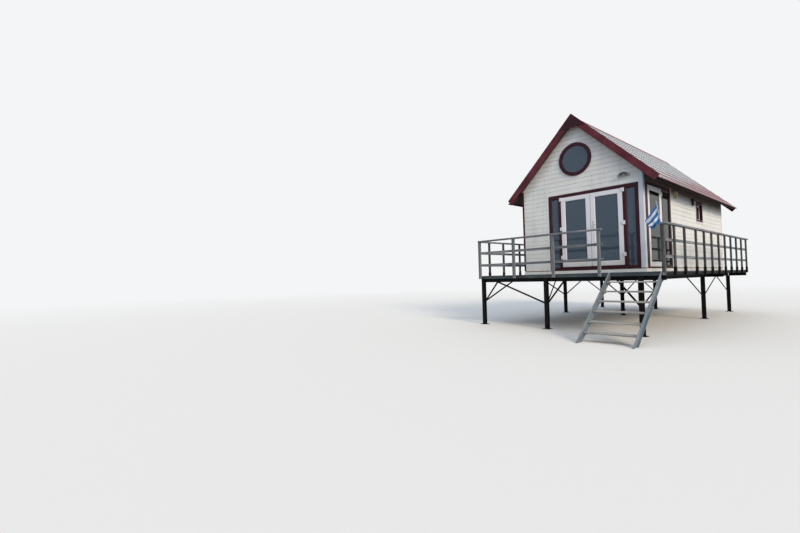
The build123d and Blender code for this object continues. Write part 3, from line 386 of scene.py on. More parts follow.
# %% Satin stainless steel
steel, place = new_finish("handle_steel")
brushed = add(steel, "VectorMath", {0: place, 1: (900, 900, 30)}, operation="MULTIPLY")
lines = add(steel, "TexNoise", {"Vector": brushed, "Scale": 1.0, "Detail": 2.0})
gloss = add(steel, "MapRange", {"Value": lines, "To Min": 0.22, "To Max": 0.4})
shader = add(steel, "BsdfPrincipled", {"Base Color": "#b9bab8", "Metallic": 1.0, "Roughness": gloss})
add(steel, "OutputMaterial", {"Surface": shader})

# %% [markdown]
# ## Fittings
#
# The side lamp is black powder-coated aluminium, the gable lamp is cast aluminium under paint that has
# gone grey, and the fan's hood is white ABS, tinted a pale yellow as painted shade for the warm shade
# under the eaves. All three are plain shells whose tone wanders a little, so one loop makes them.

# %% Lamp black, lamp white, and the hood's plastic in painted shade
for name, dark, pale, rough in (("lamp_black", "#121315", "#232427", 0.45),
                                ("lamp_white", "#84898b", "#a9adad", 0.5),
                                ("hood_plastic_painted_shade", "#c6b98d", "#ded1a6", 0.5)):
    shell, place = new_finish(name)
    cloud = add(shell, "TexNoise", {"Vector": place, "Scale": 22.0, "Detail": 4.0})
    share = add(shell, "MapRange", {"Value": cloud, "From Min": 0.35, "From Max": 0.65})
    colour = add(shell, "Mix", {0: share, 6: dark, 7: pale}, out=2, data_type="RGBA")
    relief = add(shell, "Bump", {"Height": cloud, "Distance": 0.0004, "Strength": 0.4})
    shader = add(shell, "BsdfPrincipled", {"Base Color": colour, "Roughness": rough, "Normal": relief})
    add(shell, "OutputMaterial", {"Surface": shader})

# %% [markdown]
# ## Flag cloth
#
# The flag is thin woven polyester with three blue and two white stripes along its length, about 80 mm
# wide each. Its weave is 0.5 mm, drawn here three times as coarse so that it shows.

# %% Striped polyester
STRIPE_PAIR, BLUE_SHARE, WEAVE_MM = 0.156, 0.54, 1.5
cloth, place = new_finish("flag_cloth")
across_cloth = add(cloth, "UVMap", uv_map="cloth")
from_foot = add(cloth, "SeparateXYZ", {0: across_cloth}, out=1)
count = add(cloth, "Math", {0: from_foot, 1: 1 / STRIPE_PAIR}, operation="MULTIPLY")
within = add(cloth, "Math", {0: count}, operation="FRACT")
blue = add(cloth, "Math", {0: within, 1: BLUE_SHARE}, operation="LESS_THAN")
soiled = add(cloth, "TexNoise", {"Vector": place, "Scale": 14.0, "Detail": 3.0})
white_part = add(cloth, "Mix", {0: soiled, 6: "#dfe3e8", 7: "#c3ccd6"}, out=2, data_type="RGBA")
blue_part = add(cloth, "Mix", {0: soiled, 6: "#2273bd", 7: "#1a5fa3"}, out=2, data_type="RGBA")
colour = add(cloth, "Mix", {0: blue, 6: white_part, 7: blue_part}, out=2, data_type="RGBA")
weave = add(cloth, "TexChecker", {"Vector": across_cloth, "Scale": 1000 / WEAVE_MM}, out="Fac")
relief = add(cloth, "Bump", {"Height": weave, "Distance": 0.0003, "Strength": 0.5})
shader = add(cloth, "BsdfPrincipled", {"Base Color": colour, "Roughness": 0.8, "Normal": relief,
                                       "Sheen Weight": 0.2})
add(cloth, "OutputMaterial", {"Surface": shader})
print("finishes:", len(finishes))

# %% [markdown]
# ## Camera, light and floor
#
# The camera stands where the photographer stood: low down on the right, before the stair, looking past
# the front of the hut to the left. Its place, turn and lens were solved from the photograph's
# vanishing lines, so the render and the photograph can be laid over each other.

# %% Camera
LENS, SENSOR, EYE = 18.864, 36.0, (5.726, -14.2245, 1.473)
YAW, PITCH_UP, ROLL = radians(48.916), radians(1.710), radians(-1.396)
forward = Vector((-sin(YAW) * cos(PITCH_UP), cos(YAW) * cos(PITCH_UP), sin(PITCH_UP)))
level_right = Vector((cos(YAW), sin(YAW), 0))
level_up = level_right.cross(forward)
right = cos(ROLL) * level_right + sin(ROLL) * level_up
up = cos(ROLL) * level_up - sin(ROLL) * level_right
lens = bpy.data.cameras.new("camera")
lens.lens, lens.sensor_width, lens.clip_end = LENS, SENSOR, 400.0
camera = bpy.data.objects.new("camera", lens)
bpy.context.scene.collection.objects.link(camera)
camera.matrix_world = Matrix.Translation(EYE) @ Matrix((right, up, -forward)).transposed().to_4x4()
bpy.context.scene.camera = camera
print("camera looks along", [round(v, 3) for v in forward])

# %% [markdown]
# An overcast sky lights the hut evenly, and a broad soft sun from the right gives the side wall and the
# right slope a little more than the front, as in the photograph. Together they light a face about as
# much as its colour is written for. The camera sees the sky as plain pale, and so do glass and metal.
# That takes a switch between the rays that an eye would follow and the rays that only bring light.

# %% Sky and sun
PALE_SKY, SKY_LIGHT, SUN_LIGHT = "#f4f5f6", "#dce8fb", "#fff0dc"


def seen_rays(finish):
    """1 for rays that an eye follows, straight or by way of glass or metal, and 0 for the others."""
    rays = add(finish, "LightPath").node.outputs
    seen = add(finish, "Math", {0: rays["Is Camera Ray"], 1: rays["Is Glossy Ray"]}, operation="MAXIMUM")
    return add(finish, "Math", {0: seen, 1: rays["Is Transmission Ray"]}, operation="MAXIMUM")


scene = bpy.context.scene
scene.view_settings.view_transform = "Standard"
sky = bpy.data.worlds.new("sky")
scene.world = sky
sky.use_nodes = True
sky.node_tree.nodes.clear()
light = add(sky, "Background", {"Color": SKY_LIGHT, "Strength": 0.95})
view = add(sky, "Background", {"Color": PALE_SKY, "Strength": 1.0})
mixed = add(sky, "MixShader", {0: seen_rays(sky), 1: light, 2: view})
add(sky, "OutputWorld", {"Surface": mixed})

sun = bpy.data.lights.new("sun", "SUN")
sun.energy, sun.angle, sun.color = 2.5, radians(20), linear(SUN_LIGHT)[:3]
lamp = bpy.data.objects.new("sun", sun)
scene.collection.objects.link(lamp)
towards = Vector((0.88, -0.30, 0.50)).normalized()
lamp.matrix_world = towards.to_track_quat("Z", "Y").to_matrix().to_4x4()
print("the sun stands towards", [round(v, 2) for v in towards])

# %% [markdown]
# The floor is pale to the camera, but throws back only as much light as dry sand does, so that the
# undersides of roof and platform stay dark. Far from the hut it fades into the sky's colour, so that no
# horizon shows.

# %% Floor
FLOOR_RADIUS, FADE_FROM, FADE_TO = 160, 9.0, 45.0
bpy.ops.object.select_all(action="DESELECT")
bpy.ops.mesh.primitive_circle_add(vertices=96, radius=FLOOR_RADIUS, fill_type="NGON", location=(0, 0, 0))
ground = bpy.context.object
ground.name = "ground"
pale, place = new_finish("pale_floor")
seen = seen_rays(pale)
away = add(pale, "VectorMath", {0: place}, out=1, operation="LENGTH")
far_off = add(pale, "MapRange", {"Value": away, "From Min": FADE_FROM, "From Max": FADE_TO},
              interpolation_type="SMOOTHSTEP")
faded = add(pale, "Math", {0: far_off, 1: seen}, operation="MULTIPLY")
tone = add(pale, "Mix", {0: seen, 6: "#8a867f", 7: "#e2dfd7"}, out=2, data_type="RGBA")
shader = add(pale, "BsdfPrincipled", {"Base Color": tone, "Roughness": 0.9})
haze = add(pale, "Emission", {"Color": PALE_SKY})
mixed = add(pale, "MixShader", {0: faded, 1: shader, 2: haze})
add(pale, "OutputMaterial", {"Surface": mixed})
ground.data.materials.append(pale)
print("floor radius", FLOOR_RADIUS)

# %% [markdown]
# ## Ways of working
#
# A new piece starts as a primitive at its real size and place: a box for whatever is sawn or rolled, a
# cylinder for whatever is turned. Everything is deselected first, because the CAD nodes are selected
# when they come in, and the place is applied at once, so that it lies in the mesh.

# %% Blocks and drums
def use(piece):
    """Selects this piece alone and makes it the active one."""
    bpy.ops.object.select_all(action="DESELECT")
    piece.select_set(True)
    bpy.context.view_layer.objects.active = piece
    return piece


def block(name, low, high):
    """A box between two corners, with its place in its mesh."""
    low, high = Vector(low), Vector(high)
    bpy.ops.object.select_all(action="DESELECT")
    bpy.ops.mesh.primitive_cube_add(size=1, location=(low + high) / 2, scale=high - low)
    bpy.ops.object.transform_apply(location=True, rotation=True, scale=True)
    bpy.context.object.name = name
    return bpy.context.object


def drum(name, radius, depth, place, axis="Z", sides=32):
    """An upright or lying cylinder at its place, ready to be shaped."""
    bpy.ops.object.select_all(action="DESELECT")
    turned = {"X": (0, pi / 2, 0), "Y": (pi / 2, 0, 0), "Z": (0, 0, 0)}[axis]
    bpy.ops.mesh.primitive_cylinder_add(vertices=sides, radius=radius, depth=depth, location=place,
                                        rotation=turned)
    bpy.ops.object.transform_apply()
    bpy.context.object.name = name
    return bpy.context.object


# %% [markdown]
# The piece is then opened in edit mode. By hand one would click the faces or edges to shape. In code
# they are picked by where they lie or which way they face, with a test that is given to each of them,
# and an operator then moves, draws out, insets, scores or rounds what is picked.

# %% Picking and shaping
def pick(piece, kind, test=None):
    """Opens a piece in edit mode with what passes the test selected: test(middle, normal or direction)."""
    use(piece)
    bpy.ops.object.mode_set(mode="EDIT")
    bpy.ops.mesh.select_mode(type=kind)
    bpy.ops.mesh.select_all(action="DESELECT" if test else "SELECT")
    if not test:
        return
    bpy.ops.object.mode_set(mode="OBJECT")
    points = piece.data.vertices
    if kind == "FACE":
        for face in piece.data.polygons:
            face.select = test(face.center, face.normal)
    elif kind == "EDGE":
        for edge in piece.data.edges:
            a, b = (points[i].co for i in edge.vertices)
            edge.select = test((a + b) / 2, (b - a).normalized())
    else:
        for point in points:
            point.select = test(point.co, point.normal)
    bpy.ops.object.mode_set(mode="EDIT")


def done(piece, smooth=None):
    """Leaves edit mode, and shades the faces smooth where they meet at less than that angle."""
    bpy.ops.object.mode_set(mode="OBJECT")
    if smooth:
        use(piece)
        bpy.ops.object.shade_smooth_by_angle(angle=radians(smooth))
    return piece


def bevel(piece, width, segments=2, test=None):
    """Rounds the edges that pass the test, or all of them."""
    pick(piece, "EDGE", test)
    bpy.ops.mesh.bevel(offset=width, segments=segments, affect="EDGES")
    return done(piece)


def shift(piece, kind, test, by):
    """Moves the faces, edges or points that pass the test."""
    pick(piece, kind, test)
    bpy.ops.transform.translate(value=by)
    return done(piece)


def draw_out(piece, kind, test, by):
    """Draws new faces out of the faces or edges that pass the test."""
    pick(piece, kind, test)
    bpy.ops.mesh.extrude_region_move(TRANSFORM_OT_translate={"value": by})
    return done(piece)


def recess(piece, test, border, push):
    """Insets the faces that pass the test by a border, and pushes what lies inside it."""
    pick(piece, "FACE", test)
    bpy.ops.mesh.inset(thickness=border)
    bpy.ops.transform.translate(value=push)
    return done(piece)


def open_up(piece, test):
    """Takes away the faces that pass the test."""
    pick(piece, "FACE", test)
    bpy.ops.mesh.delete(type="FACE")
    return done(piece)


def score(piece, point, normal):
    """Cuts all faces along a plane without taking anything off."""
    pick(piece, "FACE")
    bpy.ops.mesh.bisect(plane_co=point, plane_no=normal)
    return done(piece)


def saw(piece, point, normal):
    """Saws off what lies beyond a plane, and closes the cut."""
    pick(piece, "FACE")
    bpy.ops.mesh.bisect(plane_co=point, plane_no=normal, use_fill=True, clear_outer=True)
    return done(piece)


# %% [markdown]
# Cutting and repeating are left to modifiers, which are applied at once. What repeats is modelled once:
# in a line it is an array, and elsewhere each copy gets a mesh of its own, moved to its place. Last, the
# parts of a piece are joined, and the piece gets its finish and its body, and the CAD nodes that it
# stands for are hidden.

# %% Cutting, repeating, joining and finishing
def apply_modifier(piece, kind, **settings):
    """Adds a modifier, sets it and applies it."""
    use(piece)
    modifier = piece.modifiers.new("step", kind)
    for name, value in settings.items():
        setattr(modifier, name, value)
    bpy.ops.object.modifier_apply(modifier="step")
    return piece


def repeat(piece, count, step, merge=False):
    """Repeats a piece along a line."""
    return apply_modifier(piece, "ARRAY", count=count, use_relative_offset=False, use_constant_offset=True,
                          constant_offset_displace=step, use_merge_vertices=merge, merge_threshold=0.0005)


def cut(piece, cutter):
    """Takes the cutter's shape out of the piece."""
    apply_modifier(piece, "BOOLEAN", object=cutter, operation="DIFFERENCE", solver="EXACT")
    bpy.data.objects.remove(cutter)
    return piece


def place_by(piece, matrix):
    """Moves a piece's mesh, and leaves its object at the origin."""
    piece.data.transform(matrix)
    piece.data.update()
    return piece


def copy_of(piece, name, matrix=Matrix.Identity(4)):
    """A copy with a mesh of its own, moved by the matrix."""
    made = piece.copy()
    made.data = piece.data.copy()
    made.name = name
    bpy.context.scene.collection.objects.link(made)
    return place_by(made, matrix)


def join_pieces(name, pieces):
    """Makes one piece of several."""
    use(pieces[0])
    for piece in pieces:
        piece.select_set(True)
    if len(pieces) > 1:
        bpy.ops.object.join()
    pieces[0].name = name
    return pieces[0]


def finish_piece(piece, body, *finish_names, slot=None, stands_for=()):
    """Gives a piece its finishes and its body, and hides the CAD nodes that it stands for. Its slot is not
    used.
    """
    for finish_name in finish_names:
        piece.data.materials.append(finishes[finish_name])
    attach(piece, body)
    if stands_for:
        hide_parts(*stands_for)
    print(piece.name, len(piece.data.polygons), "faces")
    return piece

# %% [markdown]
# ## Finishes for the CAD pieces
#
# A CAD node keeps its shape and takes a finish. Its mesh is loose triangles, so on the nodes whose
# finish has an edge width in EDGE, three modifiers dress it: Weld joins them, Decimate melts the
# triangles of each flat face into one face, and Bevel then rounds the sharp edges by a millimetre or two,
# as a plane, a rolling mill or a mould leaves them. A rounded edge catches a thin line of light, which a
# razor-sharp one doesn't.

# %% Node finishes and softened edges
node_finish = {
    "cream_boards": ("left_wall", "rear_wall", "right_wall", "right_wall_header", "front_wall_left",
                     "front_gable", "plinth_boards", "corner_trims"),
    "burgundy_paint": ("front_door_frame", "side_door_frame", "round_window_frame", "side_window_frame"),
    "burgundy_weathered": ("bargeboards",),
    "burgundy_painted_shade": ("eaves_boards",),
    "white_pvc": ("front_door_left_leaf", "front_door_right_leaf", "side_door_leaf", "side_window_sash",
                  "front_door_left_hinges", "front_door_right_hinges", "side_door_hinges", "frame_hinges"),
    "grey_paint": ("corner_post",),
    "pane_glass": ("front_door_left_glass", "front_door_right_glass", "sidelight_glass", "window_glass"),
    "side_pane_glass": ("side_door_glass",),
    "roof_tile": ("roof_tiles_left", "roof_tiles_right"),
    "ridge_red": ("ridge_cap",),
    "roof_boarding": ("roof_frame_left", "roof_frame_right"),
    "joist_wood": ("joists",),
    "weathered_wood": ("front_deck", "side_decks", "front_railing_posts", "front_railing_rails",
                       "left_railing_posts", "left_railing_rails", "right_railing_posts",
                       "right_railing_rails", "stair_treads"),
    "floor_wood": ("floor",),
    "black_steel": ("bearers", "cross_beams", "legs", "leg_braces", "side_edge_channels"),
    "galvanised_steel": ("stair_stringers", "flag_pole"),
    "galvanised_painted_shade": ("front_edge_channel",),
    "handle_steel": ("front_door_right_handle", "side_door_handle"),
    "lamp_black": ("side_lamp",),
    "lamp_white": ("gable_light",),
    "hood_plastic_painted_shade": ("vent_hood",),
    "flag_cloth": ("flag",),
}
for finish_name, names in node_finish.items():
    for name in names:
        nodes[name].data.materials.clear()
        nodes[name].data.materials.append(finishes[finish_name])

EDGE = {"burgundy_paint": 0.0025, "white_pvc": 0.002, "grey_paint": 0.003, "black_steel": 0.002,
        "galvanised_steel": 0.0015, "galvanised_painted_shade": 0.0015, "joist_wood": 0.003, "handle_steel": 0.0012}
for finish_name, width in EDGE.items():
    for name in node_finish[finish_name]:
        weld = nodes[name].modifiers.new("weld", "WELD")
        weld.merge_threshold = 0.00005
        flat = nodes[name].modifiers.new("flat faces", "DECIMATE")
        flat.decimate_type, flat.angle_limit = "DISSOLVE", radians(0.5)
        edge = nodes[name].modifiers.new("edges", "BEVEL")
        edge.width, edge.segments, edge.limit_method, edge.angle_limit = width, 2, "ANGLE", radians(40)
        edge.use_clamp_overlap = True
print("without a finish:", sorted(set(nodes) - {n for names in node_finish.values() for n in names}))

# %% [markdown]
# ## Weatherboarded walls
#
# Each wall is a solid core with 130 mm boards nailed to it. A board has a flat face and, along its top,
# a rebate 12 mm high and 10 mm deep: under the next board that rebate is the dark line one sees. A
# texture could draw such lines, but only a real rebate stays dark in the shade and bright in the sun.
# One board is modelled and repeated up the wall. The wall is then sawn to the slope of the roof and cut
# for its openings. Every wall is built as if it faced the front, and turned into place.

# %% One weatherboard, repeated up a wall
BOARD_H, BOARD_T, REBATE_H, REBATE_D = 0.130, 0.020, 0.012, 0.010
WALL_FOOT, WALL_T = 1.613, 0.110
THROUGH = (-0.1, 0.3)


def boarded_wall(name, x0, x1, top, sides, holes, joints):
    """A core and its boards, sawn by planes (point, normal) and cut by boxes (x0, x1, z0, z1)."""
    board = block(name, (x0, REBATE_D, WALL_FOOT), (x1, BOARD_T, WALL_FOOT + BOARD_H - 0.0005))
    lip = WALL_FOOT + BOARD_H - REBATE_H
    score(board, (0, 0, lip), (0, 0, 1))
    draw_out(board, "FACE", lambda middle, normal: normal.y < -0.9 and middle.z < lip, (0, -REBATE_D, 0))
    bevel(board, 0.002, 2, lambda middle, along: abs(along.x) > 0.9 and middle.y < 0.001)
    boards = repeat(board, int((top - WALL_FOOT) / BOARD_H) + 1, (0, 0, BOARD_H))
    core = block("core", (x0, BOARD_T, WALL_FOOT), (x1, WALL_T, top))
    for piece in (boards, core):
        for point, normal in sides:
            saw(piece, point, normal)
        for a, b, low, high in holes:
            cut(piece, block("hole", (a, THROUGH[0], low), (b, THROUGH[1], high)))
    for x, low, high in joints:
        cut(boards, block("joint", (x - 0.002, THROUGH[0], low), (x + 0.002, 0.015, high)))
    return boards, core


def wall_piece(name, boards, core, turn, place, nodes_hidden):
    """Joins boards and core, turns the wall into place and gives its inside another finish."""
    core.data.materials.append(finishes["cream_boards"])
    core.data.materials.append(finishes["lining_boards"])
    for face in core.data.polygons:
        face.material_index = 1 if face.normal.y > 0.9 else 0
    boards.data.materials.append(finishes["cream_boards"])
    wall = join_pieces(name, [boards, core])
    place_by(wall, Matrix.Translation(place) @ Matrix.Rotation(radians(turn), 4, "Z"))
    return finish_piece(wall, "hut", slot="cream_boards", stands_for=nodes_hidden)


# %% [markdown]
# Inside, the walls are lined with varnished boards 150 mm wide. They are only seen through glass and
# past an open door, so their joints are drawn by the finish.

# %% Inside lining of varnished boards
LINING_BOARD, LINING_JOINT = 0.150, 0.03
lining, place = new_finish("lining_boards")
height = add(lining, "SeparateXYZ", {0: place}, out=2)
count = add(lining, "Math", {0: height, 1: 1 / LINING_BOARD}, operation="MULTIPLY")
within = add(lining, "Math", {0: count}, operation="FRACT")
joint = add(lining, "Math", {0: within, 1: LINING_JOINT}, operation="LESS_THAN")
cloud = add(lining, "TexNoise", {"Vector": place, "Scale": 3.0, "Detail": 3.0})
wood_tone = add(lining, "Mix", {0: cloud, 6: "#8f7558", 7: "#7c6248"}, out=2, data_type="RGBA")
colour = add(lining, "Mix", {0: joint, 6: wood_tone, 7: "#4f3d2c"}, out=2, data_type="RGBA")
shader = add(lining, "BsdfPrincipled", {"Base Color": colour, "Roughness": 0.6})
add(lining, "OutputMaterial", {"Surface": shader})

# %% [markdown]
# The front wall is one sheet of boards from corner to corner, cut for the doors and for the round
# window. Three courses above the doors are butt-jointed, one above the other, and one more board has
# its joint further left. The side walls' heads are sawn to the roof's slope, and the rear wall is the
# front one without openings.

# %% Front, right, left and rear walls
FRONT_Y, BACK_Y, LEFT_X, RIGHT_X, POST_X = -2.6025, 5.2875, -1.631, 1.839, 1.729
EAVE_Z, SIDE_TOP, ROUND_Z, ROUND_HOLE_R = 4.0924, 4.2024, 4.770, 0.400
FRONT_DOORWAY, SIDE_DOORWAY = (-0.751, 2.0, 1.5, 3.813), (-2.6, -0.5375, 1.5, 3.837)
SMALL_WINDOW = (1.9775, 2.6775, 3.113, 3.733)
slope = sqrt(0.5)
to_eave = [((0, 0, EAVE_Z), (0, -slope, slope))]


def to_crown(x):
    """The two planes that saw a wall to a crown at x."""
    return [((x, 0, CROWN_Z), (side * slope, 0, slope)) for side in (1, -1)]


def joints_at(*joints):
    """Butt joints from (x, first board, last board) as (x, foot, head)."""
    return [(x, WALL_FOOT + first * BOARD_H, WALL_FOOT + last * BOARD_H) for x, first, last in joints]


boards, core = boarded_wall("front_boards", LEFT_X, POST_X, CROWN_Z, to_crown(CROWN_X), [FRONT_DOORWAY],
                            joints_at((0.555, 17, 20), (0.080, 19, 20), (-0.62, 22, 23), (1.15, 24, 25)))
for piece in (boards, core):
    cut(piece, drum("round_hole", ROUND_HOLE_R, 0.6, (CROWN_X, 0, ROUND_Z), "Y", 96))
wall_piece("front_boards", boards, core, 0, (0, FRONT_Y, 0), ("front_wall_left", "front_gable"))

boards, core = boarded_wall("right_boards", -2.4725, BACK_Y - WALL_T, SIDE_TOP, to_eave,
                            [SIDE_DOORWAY, SMALL_WINDOW],
                            joints_at((0.9, 4, 7), (3.6, 9, 12), (1.4, 13, 15)))
wall_piece("right_boards", boards, core, 90, (RIGHT_X, 0, 0), ("right_wall", "right_wall_header"))

boards, core = boarded_wall("left_boards", -(BACK_Y - WALL_T), -(FRONT_Y + WALL_T), SIDE_TOP, to_eave, [],
                            joints_at((-3.0, 3, 6), (0.4, 8, 11), (-1.1, 12, 15)))
wall_piece("left_boards", boards, core, -90, (LEFT_X, 0, 0), ("left_wall",))

boards, core = boarded_wall("rear_boards", -RIGHT_X, -LEFT_X, CROWN_Z, to_crown(-CROWN_X), [],
                            joints_at((0.35, 2, 5), (-0.6, 7, 10), (0.1, 15, 18)))
wall_piece("rear_boards", boards, core, 180, (0, BACK_Y, 0), ("rear_wall",))

# %% [markdown]
# ## Timber bars
#
# Railings, decking, skirting and steps are sawn bars whose edges have worn round. Each bar is a box
# with bevelled edges that carries the grain attribute for its finish: its own place, its length first,
# and a jump that no other bar has, so that no two bars show the same figure.

# %% A bar of timber
bar_count = 0


def timber(name, low, high, along, wear=0.004):
    """A bar that runs along axis 0, 1 or 2, with worn edges and its grain attribute."""
    global bar_count
    bar = bevel(block(name, low, high), wear)
    order = {0: (0, 1, 2), 1: (1, 0, 2), 2: (2, 0, 1)}[along]
    jump = Vector((3.71, 1.93, 2.57)) * bar_count
    bar_count += 1
    grain = bar.data.attributes.new("grain", "FLOAT_VECTOR", "POINT")
    for point, value in zip(bar.data.vertices, grain.data):
        value.vector = Vector([point.co[axis] for axis in order]) + jump
    return bar

# %% [markdown]
# ## Pressed tile sheets
#
# Each slope carries steel sheets pressed into nine courses of tiles, a third of a metre apart. Across
# the slope they run in waves 190 mm wide, and each course ends in a small upright step that throws the
# dashes of shadow the roof is read by. One tile is enough to model: a grid whose rows are lifted into
# the wave, tilted so that its lower edge stands 18 mm proud, and given its step. Repeated and merged, it
# becomes one sheet, which Solidify thickens and which is then turned to the roof's 45 degrees.

# %% One tile, then a slope of them
SLOPE_LENGTH, VERGE_LENGTH, ROOF_FOOT_Y, RAFTER_TOP = 3.0731, 8.156, -2.7355, 5.9406
COURSES, WAVES = 9, 43
gauge, wave, step_up, wave_h = SLOPE_LENGTH / COURSES, VERGE_LENGTH / WAVES, 0.018, 0.022
SHADE_RUN, SHEET_LIFT, ROWS, NEAR = 0.100, 0.0015, 8, 0.001

bpy.ops.object.select_all(action="DESELECT")
bpy.ops.mesh.primitive_grid_add(x_subdivisions=1, y_subdivisions=ROWS, size=1,
                                location=(gauge / 2, wave / 2, SHEET_LIFT))
tile = bpy.context.object
tile.scale = (gauge, wave, 1)
bpy.ops.object.transform_apply()
for row in range(1, ROWS):
    shift(tile, "VERT", lambda point, normal: abs(point.y - row * wave / ROWS) < NEAR,
          (0, 0, wave_h * sin(pi * row / ROWS) ** 2))
shift(tile, "VERT", lambda point, normal: point.x > gauge - NEAR, (0, 0, step_up))
draw_out(tile, "EDGE", lambda middle, along: middle.x > gauge - NEAR, (0, 0, -step_up))
for line in (SHADE_RUN, SHADE_RUN + 0.012, gauge - 0.010):
    score(tile, (line, 0, 0), (1, 0, 0))
print("one tile:", len(tile.data.polygons), "faces, repeated", COURSES * WAVES, "times a slope")

# %% [markdown]
# The hollows below each step, and most of all the step itself, are darkened: partly by dirt that rain
# leaves where it lingers, partly as painted shade for the shadow under each step. The points of the tile
# carry that as an attribute, from 0 for clean to 1 for black, and the array copies it with them. The
# lowest edge of the sheet, over the eaves, is darkened all along, as dirt and painted shade.

# %% Dirt and painted shade in the hollows, and the whole sheet
dirt = tile.data.attributes.new("dirt", "FLOAT", "POINT")
for point, value in zip(tile.data.vertices, dirt.data):
    hollow = 1 - sin(pi * point.co.y / wave) ** 2
    lowest = point.co.x > gauge - NEAR
    half_step = SHEET_LIFT + wave_h * (1 - hollow) + step_up / 2
    if point.co.x < SHADE_RUN + NEAR or lowest and point.co.z < half_step:
        value.value = 0.12 + 0.5 * min(1.0, 1.5 * hollow)
    else:
        value.value = 0.85 if lowest else 0.15 * hollow
sheet = repeat(repeat(tile, COURSES, (gauge, 0, 0), merge=True), WAVES, (0, wave, 0), merge=True)
# The eaves edge is darkened all along: dirt, and painted shade.
for point, value in zip(sheet.data.vertices, sheet.data.attributes["dirt"].data):
    if point.co.x > SLOPE_LENGTH - NEAR:
        value.value = 0.9
pick(sheet, "FACE")
bpy.ops.mesh.normals_make_consistent(inside=False)
done(sheet)
if sheet.data.polygons[0].normal.z < 0:
    sheet.data.flip_normals()
apply_modifier(sheet, "SOLIDIFY", thickness=0.0014, offset=-1)
done(sheet, smooth=35)

for name, side in (("right", 1), ("left", -1)):
    down, out = Vector((side * slope, 0, -slope)), Vector((side * slope, 0, slope))
    along = Vector((0, side, 0))
    foot = Vector((CROWN_X, ROOF_FOOT_Y if side > 0 else ROOF_FOOT_Y + VERGE_LENGTH, RAFTER_TOP))
    turned = Matrix.Translation(foot) @ Matrix((down, along, out)).transposed().to_4x4()
    slope_sheet = copy_of(sheet, f"tile_sheets_{name}", turned)
    finish_piece(slope_sheet, "hut", "roof_tile", slot="roof_tile", stands_for=(f"roof_tiles_{name}",))
bpy.data.objects.remove(sheet)

# %% [markdown]
# ## Bargeboards and eaves
#
# Two boards, 22 mm thick, run down each end of the roof, and a darker triangular plate is nailed over
# them where they meet. The right one has been lengthened near its foot with a slanted joint, and the
# short end there has lost some of its paint. The front boards stand above the tiles and hide their
# ends, and the rear ones are level with them. Each board is a block as long as the slope, sawn plumb at
# the crown and square at the foot and turned to 45 degrees, so its grain runs down the slope. Under the
# edge of the tiles runs a narrow eaves board, almost black with dirt and with painted shade for the
# shade under the tiles.

# %% Bargeboards with their apex plates
BARGE_H, BARGE_T, BARGE_LENGTH, PLATE_T, PLATE_DROP = 0.180, 0.022, 2.173 * sqrt(2), 0.008, 0.411
FRONT_CROWN, REAR_CROWN, FRONT_VERGE_Y, REAR_VERGE_Y = 6.0537, 5.983, ROOF_FOOT_Y, 5.4205
SPLICE, SPLICE_SLANT, SAW_GAP = 0.22, 0.35, 0.004


def tilted(side, crown):
    """Turns a flat frame (down the slope, square to it) onto one side of the gable."""
    axes = (Vector((side * slope, 0, -slope)), Vector((0, side, 0)), Vector((side * slope, 0, slope)))
    return Matrix.Translation((CROWN_X, 0, crown)) @ Matrix(axes).transposed().to_4x4()


for end, crown, y0, plate_y in (
        ("front", FRONT_CROWN, FRONT_VERGE_Y - BARGE_T, FRONT_VERGE_Y - BARGE_T - PLATE_T),
        ("rear", REAR_CROWN, REAR_VERGE_Y, REAR_VERGE_Y + BARGE_T)):
    lengths, pale_ends = [], []
    for side in (-1, 1):
        front_edge = y0 if side > 0 else -y0 - BARGE_T
        board = timber("board", (0, front_edge, -BARGE_H), (BARGE_LENGTH, front_edge + BARGE_T, 0), 0, 0.003)
        saw(board, (0, 0, 0), (-1, 0, -1))
        if side > 0:
            heel = BARGE_LENGTH - SPLICE
            tip = copy_of(board, "tip")
            saw(board, (heel, 0, 0), (1, 0, SPLICE_SLANT))
            saw(tip, (heel + SAW_GAP, 0, 0), (-1, 0, -SPLICE_SLANT))
            pale_ends.append(place_by(tip, tilted(side, crown)))
        lengths.append(place_by(board, tilted(side, crown)))
    half = PLATE_DROP - 0.002
    plate = block("plate", (CROWN_X - half, plate_y, crown - PLATE_DROP),
                  (CROWN_X + half, plate_y + PLATE_T, crown))
    for side in (-1, 1):
        saw(plate, (CROWN_X, 0, crown - 0.002), (side, 0, 1))
    bevel(plate, 0.002, 1)
    boards = join_pieces(f"{end}_bargeboards", lengths)
    finish_piece(boards, "hut", "burgundy_weathered", slot="burgundy_paint",
                 stands_for=("bargeboards",) if end == "front" else ())
    finish_piece(join_pieces(f"{end}_barge_tip", pale_ends), "hut", "burgundy_worn", slot="burgundy_paint")
    plate.name = f"{end}_apex_plate"
    finish_piece(plate, "hut", "burgundy_paint", slot="burgundy_paint")

# %% [markdown]
# ## Corner strips and cover strips
#
# Boards end against strips. The front left corner has a burgundy one, and the two rear corners have
# cream ones. They are angles: a block that is led round the corner by extruding one of its faces.

